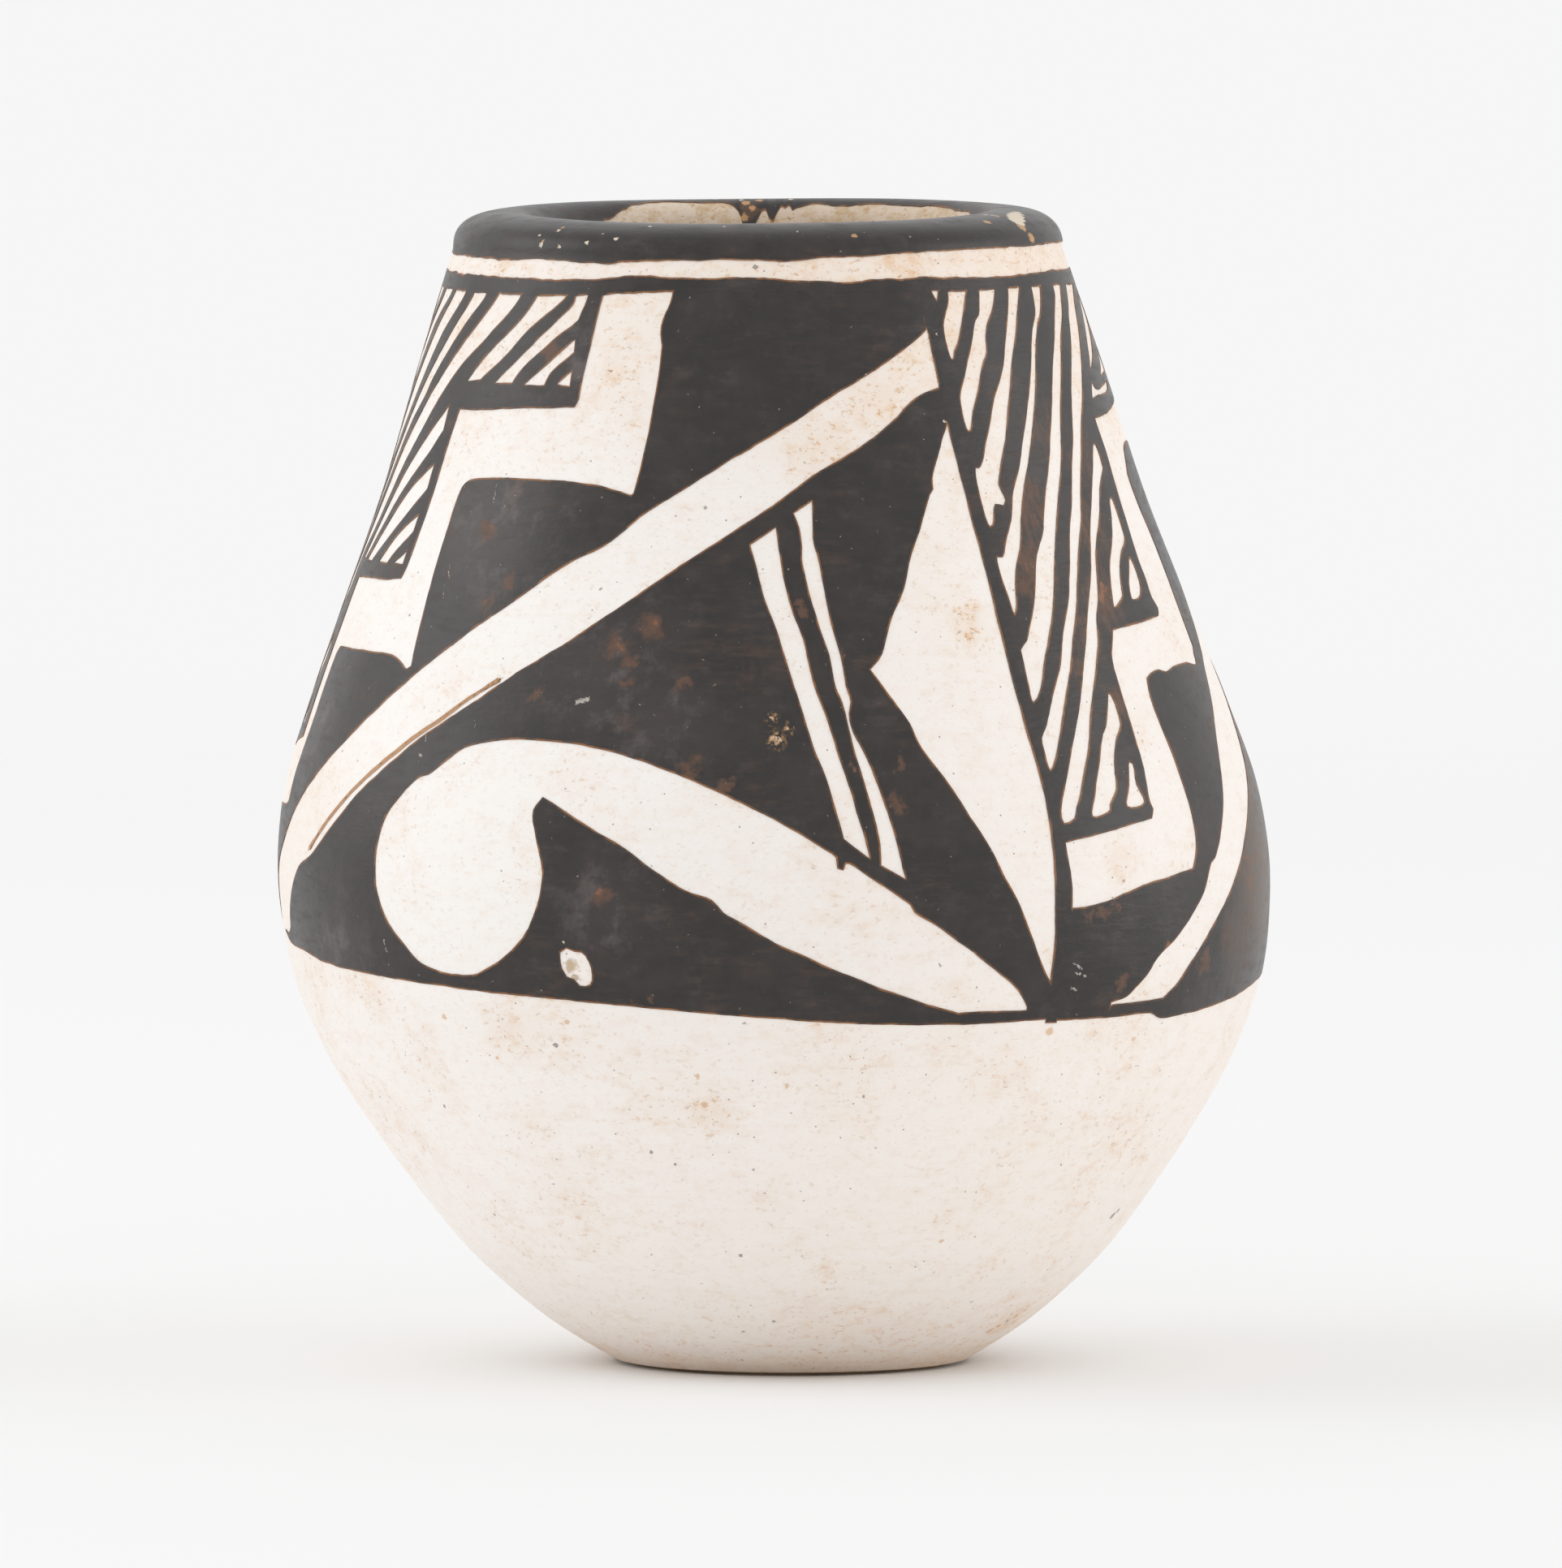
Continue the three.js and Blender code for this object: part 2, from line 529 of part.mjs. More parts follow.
// One panel: hatching with its left border line, stepped field and scroll field
function paintPanel(name, drawing, panelStart, panelEnd) {
  const stretch = (panelEnd - panelStart) / (drawing.end - drawing.start);
  const shifted = (corners, at) => corners.map(([across, up]) => [across / stretch + at, up]);
  const border = (at) => area(shifted([...borderLeft, ...borderRight], at));
  const leftBorder = border(drawing.start);
  const rightBorder = border(drawing.end);
  const farLeft = drawing.start - fullTurn;
  const beyond = area([
    [farLeft, drawnTop + edgeOverrun], ...shifted(borderLeft, drawing.start),
    [drawing.start, drawnBottom - edgeOverrun], [farLeft, drawnBottom - edgeOverrun],
  ]);
  const steppedField = without(drawing.steppedField(), leftBorder, rightBorder, beyond);
  const hatching = joined([without(joined(drawing.hatching()), steppedField, beyond), leftBorder]);
  const whites = [drawing.commaHead, drawing.commaTail, drawing.leftStripe, drawing.rightStripe];
  const scrollField = without(drawing.scrollField(), ...whites.map((white) => white()), rightBorder, steppedField);
  addPiece(`${name}_hatching`, painted(hatching, drawing, panelStart, stretch), paint);
  addPiece(`${name}_stepped_field`, painted(steppedField, drawing, panelStart, stretch), paint);
  addPiece(`${name}_scroll_field`, painted(scrollField, drawing, panelStart, stretch), paint);
}

paintPanel('front', frontDrawing, frontPanelAngle, rightPanelAngle);
paintPanel('right', rightDrawing, rightPanelAngle, backPanelAngle);
paintPanel('back', frontDrawing, backPanelAngle, frontPanelAngle + fullTurn);

export default group;
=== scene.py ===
import bmesh
import bpy
import math
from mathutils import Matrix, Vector, noise
from mathutils.bvhtree import BVHTree


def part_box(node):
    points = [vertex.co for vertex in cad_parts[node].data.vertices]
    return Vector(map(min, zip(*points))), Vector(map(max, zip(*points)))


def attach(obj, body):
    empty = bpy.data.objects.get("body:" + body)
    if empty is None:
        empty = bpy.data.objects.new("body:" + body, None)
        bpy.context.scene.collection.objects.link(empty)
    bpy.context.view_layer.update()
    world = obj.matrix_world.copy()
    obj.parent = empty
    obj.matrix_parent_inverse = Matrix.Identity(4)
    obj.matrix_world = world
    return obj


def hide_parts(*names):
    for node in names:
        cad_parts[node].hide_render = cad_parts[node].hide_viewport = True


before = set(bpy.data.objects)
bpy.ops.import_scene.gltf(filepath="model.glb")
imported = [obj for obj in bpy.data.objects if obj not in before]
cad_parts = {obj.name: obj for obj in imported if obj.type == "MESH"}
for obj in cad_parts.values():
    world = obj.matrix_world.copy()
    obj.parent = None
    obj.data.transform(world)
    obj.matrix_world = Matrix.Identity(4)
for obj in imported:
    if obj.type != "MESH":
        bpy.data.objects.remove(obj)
noise.seed_set(5)  # the brush and the hand are unsteady in the same way in every run
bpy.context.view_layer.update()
print("frame loaded")

mm = 0.001  # shapes are written in millimetres, and Blender's unit is a metre
tiny = 1e-4  # places closer together than this are one place

# The jar's own shape, in millimetres and degrees. Angles run round from the front towards +X.
jar = {
    "outline": [  # height and radius of the slipped face
        (0, 11.2), (0.4, 11.9), (1.4, 13.6), (3.05, 16.05), (5.2, 18.6), (7.4, 20.85), (9.5, 22.6),
        (14.8, 26.45), (20.1, 29.65), (25.5, 31.75), (30.8, 32.46), (34, 32.46), (38.3, 31.82),
        (43.1, 30.2), (50.3, 27.52), (57.5, 24.85), (64.7, 22.65), (73.2, 19.93),
    ],
    "inside": [  # height and radius of the bare inner wall
        (9.5, 17), (14.2, 20.9), (23.7, 26.4), (33.1, 28.3), (42.6, 26), (56.7, 20.4), (66.2, 17),
        (73.2, 14.6),
    ],
    "lipStart": 73.2,
    "crest": (16.3, 75.73),  # radius and height of the lip's top
    "throatRadius": 14.25,
    "lipSquareness": 2.55,  # 2 is an ellipse, more is boxier
    "neckOffset": 2.24,  # the mouth stands this far to the left of the foot
    "neckOffsetBow": 0.18,
    # Down the throat, to the rim coil's joint
    "throatHeights": (73.2, 72.4, 71.6, 70.8, 70, 69.2, 68.4, 67.6, 66.8, 66.2),
    "throatCoat": 0.3,
    "floorHeight": 5.2,
    "spacing": 0.6,  # between the points of a smoothed profile
    "lipParts": 40,
    "steps": 192,
}


# Smooth curve through points, as a list of points at an even spacing
def smoothLine(points, spacing, closed=False):
    points = [Vector(p) for p in points]
    count = len(points)
    if closed:
        before, after = points[-1], [points[0], points[1]]
    else:
        before = points[0] * 2 - points[1]
        after = [points[-1] * 2 - points[-2]]
    line = [before] + points + after
    result = []
    for i in range(count if closed else count - 1):
        a, b, c, d = line[i:i + 4]
        tA = max((b - a).length, 1e-6) ** 0.5
        tB = max((c - b).length, 1e-6) ** 0.5
        tC = max((d - c).length, 1e-6) ** 0.5
        slopeB = ((b - a) / tA - (c - a) / (tA + tB) + (c - b) / tB) * tB
        slopeC = ((c - b) / tB - (d - b) / (tB + tC) + (d - c) / tC) * tB
        parts = max(1, round((c - b).length / spacing))
        for k in range(parts):
            t = k / parts
            place = b * (2 * t ** 3 - 3 * t ** 2 + 1) + slopeB * (t ** 3 - 2 * t ** 2 + t)
            place += c * (3 * t ** 2 - 2 * t ** 3) + slopeC * (t ** 3 - t ** 2)
            result.append(place)
    if not closed:
        result.append(points[-1])
    return result


def valueAt(line, key):  # second number of a line of points, at a value of the first
    for a, b in zip(line, line[1:]):
        if key <= b[0]:
            return a[1] + (b[1] - a[1]) * (key - a[0]) / (b[0] - a[0])
    return line[-1][1]


# The profile of the slipped face, up the outside, over the lip and down the throat, and each point's
# distance: the height on the outside, and from there on the way along the profile
def makeProfile():
    outside = [Vector((p.y, p.x)) for p in smoothLine(jar["outline"], jar["spacing"])]
    crestRadius, crestHeight = jar["crest"]
    rise = crestHeight - jar["lipStart"]
    power = 2 / jar["lipSquareness"]
    farSide = 2 * crestRadius - jar["throatRadius"]
    over = []
    for i in range(1, jar["lipParts"]):
        turn = math.pi * i / jar["lipParts"]
        reach = (outside[-1].x if turn < math.pi / 2 else farSide) - crestRadius
        across = math.copysign(abs(math.cos(turn)) ** power, math.cos(turn))
        height = jar["lipStart"] + rise * math.sin(turn) ** power
        over.append(Vector((crestRadius + reach * across, height)))
    for height in jar["throatHeights"]:
        over.append(Vector((valueAt(jar["inside"], height) - jar["throatCoat"], height)))
    distances = [p.y for p in outside]
    for p, q in zip([outside[-1]] + over, over):
        distances.append(distances[-1] + (q - p).length)
    return outside + over, distances


profile, distances = makeProfile()
crestDistance = distances[max(range(len(profile)), key=lambda i: profile[i].y)]


def profilePoint(distance, lift):  # radius and height of a point that far off the slipped face
    low, high = 0, len(distances) - 1
    while high - low > 1:
        middle = (low + high) // 2
        if distances[middle] <= distance:
            low = middle
        else:
            high = middle
    share = (distance - distances[low]) / (distances[high] - distances[low])
    place = profile[low].lerp(profile[high], share)
    normals = [profileNormal(low), profileNormal(high)]
    return place + normals[0].lerp(normals[1], share).normalized() * lift


def profileNormal(i):
    along = profile[min(i + 1, len(profile) - 1)] - profile[max(i - 1, 0)]
    return Vector((along.y, -along.x)).normalized()


# The small unevenness of a jar made by hand, its wavy rim and its leaning neck
hand = {
    "jarHeight": 76,
    "bellyRadius": 30,
    "threeLobes": 0.04,  # how far the belly is out of round
    "twoLobes": 0.05,
    "lumps": 0.08,
    "lumpsPerMillimetre": 0.09,
    "tighter": 0.05,  # the belly all round
    "rimStart": 73,  # the rim is wavy from this height up
    "rimBlend": 2.5,
    "rimBack": 0.16,  # how far the rim stands up at the back
    "rimDip": 0.68,  # how much lower it is at the front
    "rimDipPower": 1.6,
    "rimSide": 0.1,
    "rimRipple": 0.02,
}


def handmade(place):
    angle = math.atan2(place.x, -place.y)
    up = min(1, max(0, place.z / hand["jarHeight"]))
    swell = hand["threeLobes"] * math.sin(3 * angle + 2 - 3 * up) - hand["twoLobes"] * math.cos(2 * angle)
    swell += hand["lumps"] * noise.noise(place * hand["lumpsPerMillimetre"]) - hand["tighter"]
    wave = hand["rimBack"] - hand["rimDip"] * (0.5 + 0.5 * math.cos(angle)) ** hand["rimDipPower"]
    wave += hand["rimSide"] * math.sin(angle) + hand["rimRipple"] * math.sin(5 * angle + 1)
    nearRim = min(1, max(0, (place.z - hand["rimStart"]) / hand["rimBlend"]))
    scale = 1 + swell * math.sin(math.pi * up) ** 0.5 / hand["bellyRadius"]
    lean = -jar["neckOffset"] * up - jar["neckOffsetBow"] * math.sin(math.pi * up)
    return Vector((place.x * scale + lean, place.y * scale, place.z + wave * nearRim))


def onJar(angle, distance, lift):  # a place off the slipped face, in metres
    radius, height = profilePoint(distance, lift)
    turn = math.radians(angle)
    return handmade(Vector((radius * math.sin(turn), -radius * math.cos(turn), height))) * mm


def addPiece(name, bm, finish, slot, *nodes):
    mesh = bpy.data.meshes.new(name)
    bm.to_mesh(mesh)
    bm.free()
    mesh.shade_smooth()
    mesh.set_sharp_from_angle(angle=math.radians(50))  # a gentler edge is shaded as a curve
    mesh.materials.append(finish)
    piece = bpy.data.objects.new(name, mesh)
    bpy.context.scene.collection.objects.link(piece)
    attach(piece, "root")
    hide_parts(*nodes)
    return piece


# Materials: Wire carries one output of a node, so that shader maths reads as plain expressions
class Wire:
    def __init__(self, finish, socket):
        self.finish = finish
        self.socket = socket

    def maths(self, operation, first, second=0):
        return self.finish.node("ShaderNodeMath", {"operation": operation}, {0: first, 1: second})

    def __add__(self, other):
        return self.maths("ADD", self, other)

    def __sub__(self, other):
        return self.maths("SUBTRACT", self, other)

    def __rsub__(self, other):
        return self.maths("SUBTRACT", other, self)

    def __mul__(self, other):
        return self.maths("MULTIPLY", self, other)

    __radd__ = __add__
    __rmul__ = __mul__

    def root(self):
        return self.maths("SQRT", self)

    def also(self, output):  # another output of the same node
        return Wire(self.finish, self.socket.node.outputs[output])


class Finish:
    def __init__(self, name):
        self.material = bpy.data.materials.new(name)
        self.material.use_nodes = True
        self.tree = self.material.node_tree
        self.tree.nodes.clear()

    def node(self, kind, settings=None, inputs=None, output=0):
        made = self.tree.nodes.new(kind)
        for key, value in (settings or {}).items():
            setattr(made, key, value)
        for key, value in (inputs or {}).items():
            if isinstance(value, Wire):
                self.tree.links.new(value.socket, made.inputs[key])
            else:
                made.inputs[key].default_value = value
        return Wire(self, made.outputs[output])

    def place(self, stretch=(1, 1, 1)):  # millimetres on the jar
        scale = [side / mm for side in stretch]
        where = self.node("ShaderNodeTexCoord", output="Object")
        return self.node("ShaderNodeMapping", {}, {"Vector": where, "Scale": scale})

    def noise(self, place, size, detail=3, roughness=0.55):  # size of its features in millimetres
        inputs = {"Vector": place, "Scale": 1 / size, "Detail": detail, "Roughness": roughness}
        return self.node("ShaderNodeTexNoise", {}, inputs)

    def between(self, value, low, high):  # 0 at low, 1 at high, and smooth from one to the other
        inputs = {"Value": value, "From Min": low, "From Max": high}
        return self.node("ShaderNodeMapRange", {"interpolation_type": "SMOOTHSTEP"}, inputs)

    def mix(self, share, first, second):  # of two colours
        return self.node("ShaderNodeMix", {"data_type": "RGBA"}, {0: share, 6: first, 7: second}, 2)

    def vector(self, operation, first, second, output="Vector"):
        return self.node("ShaderNodeVectorMath", {"operation": operation}, {0: first, 1: second}, output)

    def attribute(self, name):
        return self.node("ShaderNodeAttribute", {"attribute_name": name}, {}, "Fac")

    def bump(self, height, depth):  # depth in millimetres
        return self.node("ShaderNodeBump", {}, {"Height": height, "Distance": depth * mm, "Strength": 1})

    def done(self, **values):
        values = {key.replace("_", " "): value for key, value in values.items()}
        surface = self.node("ShaderNodeBsdfPrincipled", {}, values)
        end = self.tree.nodes.new("ShaderNodeOutputMaterial")
        self.tree.links.new(surface.socket, end.inputs["Surface"])
        return self.material


def tone(red, green, blue):  # a colour written as a screen shows it, 0 to 255
    def linear(level):
        level /= 255
        return level / 12.92 if level <= 0.04045 else ((level + 0.055) / 1.055) ** 2.4
    return (linear(red), linear(green), linear(blue), 1)


# Masks, from 0 to 1
def flecks(finish, place, size, level):  # irregular dots, rarer at a higher level
    return finish.between(finish.noise(place, size, 3, 0.6), level, level + 0.1)


def specks(finish, place, spacing, size, share):  # scattered single grains
    cells = finish.node("ShaderNodeTexVoronoi", {}, {"Vector": place, "Scale": 1 / spacing})
    chance = finish.node("ShaderNodeSeparateColor", {}, {"Color": cells.also("Color")})
    dot = 1 - finish.between(cells, 0.5 * size / spacing, size / spacing)
    return dot * finish.between(chance, 1 - share, 1 - 0.8 * share)


def bent(finish, place, size):  # places pushed about by noise, so that marks get uneven outlines
    colours = finish.noise(place, size / 0.9, 4, 0.6).also("Color")
    push = finish.vector("SUBTRACT", colours, (0.5, 0.5, 0.5))
    push = finish.vector("MULTIPLY", push, (size * 3, size * 3, size * 3))
    return finish.vector("ADD", place, push)


def spots(finish, place, marks, core=0.6):  # marks given as angle, distance along the profile, and size
    nearest = 9  # in sizes of a mark, and well outside any
    for angle, distance, size in marks:
        away = finish.vector("DISTANCE", place, onJar(angle, distance, 0) / mm, "Value")
        nearest = away.maths("MINIMUM", away * (1 / size), nearest)
    return 1 - finish.between(nearest, core, 1)


# White slip
slipLook = {
    "cream": tone(250, 246, 242),
    "shadedCream": tone(244, 240, 236),  # the painted part, a little darker: painted shade, which leaves the lower part lighter as if lit from below
    "tan": tone(229, 196, 162),
    "rust": tone(208, 158, 102),
    "brown": tone(158, 120, 86),
    "dark": tone(104, 92, 84),
    "bare": tone(190, 164, 128),
    "chips": [(-24.2, 28.1, 0.6), (-23.8, 27.3, 0.3)],
    "darkDots": [
        (66.9, 10.3, 0.3), (68, 10.6, 0.2), (-18.2, 15.8, 0.14), (-15.2, 15, 0.12), (-49.8, 18.2, 0.14),
        (-27.8, 22.8, 0.2), (-7.8, 8.8, 0.14), (-3.3, 4.1, 0.12), (-0.5, 72.6, 0.18), (60.3, 3.3, 0.18),
    ],
    "rustDots": [
        (26.3, 9.6, 0.2), (-36.8, 21.8, 0.18), (34.1, 23.6, 0.35), (-10.2, 21, 0.22), (-9.7, 19.1, 0.3),
        (0.8, 20.4, 0.2), (-43.4, 24.3, 0.25), (-25.6, 24.4, 0.22), (57, 2.7, 0.4), (58.8, 3, 0.3),
        (62, 3.6, 0.3), (48, 22.7, 0.2),
    ],
    "stains": [
        (-33.8, 23.6, 3.2), (-8.8, 18.7, 3), (-55.7, 25.4, 2.6), (8, 60.7, 4), (19, 63.8, 3),
        (44, 34.5, 2.4), (28, 50, 2), (-26, 66, 1.6), (-12, 50, 3), (61, 3.5, 3), (28, 72.6, 2.5),
        (-56, 72.2, 1.6), (5, 26, 2),
    ],
}


def makeSlip():
    f = Finish("white slip")
    place = f.place()
    level = f.place((0.8, 0.8, 1.2))  # rubbed a little sideways
    height = f.node("ShaderNodeSeparateXYZ", {}, {"Vector": place}, "Z")
    across = f.node("ShaderNodeSeparateXYZ", {}, {"Vector": place}, "X")
    crooked = bent(f, place, 0.14)
    throat = f.attribute("throat")
    stains = spots(f, bent(f, place, 1.2), slipLook["stains"], 0)
    clouds = f.between(f.noise(place, 6, 4, 0.6), 0.45, 0.7)
    mottle = f.between(f.noise(level, 1.1, 5, 0.7), 0.46, 0.74)
    fine = f.noise(level, 0.22, 3, 0.6)
    streaks = f.between(f.noise(f.place((0.12, 0.12, 1.5)), 0.8, 3), 0.5, 0.8)
    # towards the foot: some dirt, and painted shade under the belly
    foot = 1 - f.between(height, 0, 7)
    neck = f.between(height, 56, 73)
    body = f.between(height, 22, 32)
    # Dirt gathers in stains and in the throat, and what is dirty is warmer; the slip is also warmer
    # towards the neck, and darker and warmer towards the foot as painted shade under the belly
    dirtAndFootShade = clouds * 0.34 + stains * 0.6 + neck * 0.3 + foot * 0.2 + throat * 0.6
    warmthAndPaintedLight = mottle * (0.16 + 0.6 * dirtAndFootShade) + clouds * 0.1 + fine * 0.14 + streaks * 0.08
    # darker and warmer in the lowest 2.5 mm and towards the foot: a painted contact shadow and painted
    # shade
    warmthAndPaintedLight = warmthAndPaintedLight + (1 - f.between(height, 0, 2.5)) * 0.28 + foot * 0.12 + stains * 0.24 + neck * 0.16
    # warmer towards the right of the jar (+X), more so on the neck and belly
    warmthAndPaintedLight = warmthAndPaintedLight + f.between(across, -26, 16) * (0.08 + neck * 0.1 + body * 0.04) - body * 0.07 - 0.01
    # a tan band at the far left of the belly: partly painted light on that edge, partly the slip's own
    # tone
    warmthAndPaintedLight = warmthAndPaintedLight + body * (1 - f.between(across, -33, -25)) * 0.16
    # lighter cream low on the jar and darker above: painted light and shade by height
    colour = f.mix(f.between(height, 16, 30), slipLook["cream"], slipLook["shadedCream"])
    colour = f.mix(warmthAndPaintedLight, colour, slipLook["tan"])
    rust = flecks(f, level, 0.42, 0.58) * (0.12 + 0.85 * dirtAndFootShade)
    colour = f.mix(rust, colour, slipLook["rust"])
    brown = flecks(f, level, 0.3, 0.62) * (0.2 + 0.8 * dirtAndFootShade)
    colour = f.mix(brown * 0.85, colour, slipLook["brown"])
    grains = specks(f, place, 0.8, 0.08, 0.4) + specks(f, crooked, 2.4, 0.14, 0.4)
    colour = f.mix(grains * 0.7, colour, slipLook["dark"])
    colour = f.mix(spots(f, crooked, slipLook["rustDots"]) * 0.6, colour, slipLook["rust"])
    pits = spots(f, crooked, slipLook["darkDots"])
    colour = f.mix(pits * 0.65, colour, slipLook["dark"])
    chips = spots(f, bent(f, place, 0.3), slipLook["chips"], 0.3)
    colour = f.mix(chips * (0.6 + fine * 0.5) + throat * (0.5 + mottle * 0.4), colour, slipLook["bare"])
    relief = f.noise(place, 0.3, 4, 0.6) + mottle * 0.4 - brown * 0.5 - grains * 0.6 - (pits + chips) * 4
    return f.done(Base_Color=colour, Roughness=0.5 + fine * 0.25, Normal=f.bump(relief, 0.02))


# Black paint
paintLook = {
    "black": tone(30, 26, 24),
    "soft": tone(51, 43, 39),
    "grey": tone(98, 90, 88),
    "brown": tone(98, 68, 50),
    "orange": tone(150, 98, 62),
    "edge": tone(140, 92, 50),
    "wash": tone(186, 140, 98),
    "dust": tone(206, 198, 188),
    "bare": tone(226, 212, 192),
    # greyer patches on the left of the black: painted sheen where the light catches the paint
    "sheenSpots": [
        (-22, 47, 8), (-42, 56, 8), (-14, 44, 6), (-20, 32, 5), (-30, 66, 5), (-62, 28, 5),
        (-75, 42, 7),
    ],
    "thinSpots": [
        (-15.6, 49.7, 1.9), (-19.8, 48.4, 1.7), (-18, 47.4, 1.2), (-10.5, 46.1, 1.1), (-18.2, 46, 0.9),
        (-30.4, 45.2, 1.2), (-9.6, 40.8, 1.4), (-5, 39.9, 1), (4.8, 50.8, 0.8), (8.8, 48, 0.8),
        (-44.3, 55.6, 1.6), (-38, 52.2, 1.2), (-41, 50.8, 1), (-17, 25.7, 0.8), (-14.6, 25.9, 0.6),
        (-20, 32.5, 1.3), (14.8, 38.5, 1.4), (15.6, 41, 0.9), (38.5, 31, 0.9), (40.5, 31.3, 1),
        (42.5, 31.6, 0.8), (57.6, 35.5, 0.9), (9.8, 41, 0.6), (-38.6, 67, 1.2), (44, 26.5, 1.2),
        (60, 27.5, 1.4), (52, 28.5, 1), (-177.5, 80, 1.5), (-172, 79, 0.9),
    ],
    "bareSpots": [
        (63.8, 75.75, 0.7), (66, 76.15, 0.75), (68.5, 76.5, 0.7), (71.5, 76.8, 0.6), (74.5, 77, 0.4),
        (61, 77.6, 0.24), (-24.8, 29.6, 0.14), (28, 78.1, 0.22), (-44.8, 74, 0.22), (-42.4, 75.4, 0.18),
        (-46.3, 74.8, 0.14), (-40.2, 73.9, 0.18), (-33.9, 74.3, 0.16), (-31.2, 75.2, 0.12),
        (-27.8, 74.7, 0.18), (-22.6, 76.6, 0.16), (-6.8, 76.6, 0.14), (8, 75.6, 0.12),
        (61.5, 77.2, 0.2), (150, 77.8, 0.16), (157, 78.2, 0.16), (162, 77.9, 0.14), (141, 78, 0.15),
        (168, 78.3, 0.16), (172, 78.8, 0.22), (-170, 78.6, 0.16), (-176, 78.9, 0.2), (146, 78.6, 0.14),
        (32, 68.2, 0.12), (30.4, 62.6, 0.1),
    ],
    "scratches": [  # from and to, as angle and distance, and the width
        (-50.6, 53.4, -49.8, 52.2, 0.07), (-50.5, 51.9, -49.9, 51, 0.06),
        (-46.8, 42.4, -46.6, 41.5, 0.06), (-51.6, 29.2, -51.2, 28.3, 0.07),
        (-39, 43.6, -38.9, 43, 0.05), (-44.6, 58.5, -44.4, 57.2, 0.06), (36.4, 28, 37.8, 27.6, 0.1),
        (36.7, 27.4, 38.5, 27.1, 0.1), (36.2, 26.4, 37.3, 26.3, 0.12), (-24.9, 44.8, -22.9, 45.1, 0.2),
        (-47.4, 41.2, -46.6, 41, 0.12),
    ],
    "rubbed": [(0.9, 42.7, 0.9), (0.4, 44, 0.6), (2.4, 43.4, 0.5)],
    "rustSpots": [
        (62.6, 75.1, 0.5), (63.8, 74.2, 0.45), (53.5, 76, 0.36), (61.6, 76.9, 0.3), (18.8, 75, 0.22),
        (-42.2, 75.8, 0.2), (-44.6, 74.3, 0.16), (-177, 79.4, 0.35), (-178.6, 79.9, 0.3),
        (-176.4, 80.6, 0.35), (179.5, 79, 0.3),
    ],
}


def scratches(finish, place, marks):  # fine straight scratches
    mask = 0
    for angle, distance, endAngle, endDistance, width in marks:
        start = onJar(angle, distance, 0) / mm
        end = onJar(endAngle, endDistance, 0) / mm
        furthest = ((end - start).length / 2) ** 2
        away = finish.vector("SUBTRACT", place, (start + end) / 2)
        along = finish.vector("DOT_PRODUCT", away, (end - start).normalized(), "Value")
        alongSquared = along * along
        beside = (finish.vector("DOT_PRODUCT", away, away, "Value") - alongSquared).root()
        line = 1 - finish.between(beside, width * 0.4, width)
        mask = line * (1 - finish.between(alongSquared, furthest * 0.8, furthest)) + mask
    return mask


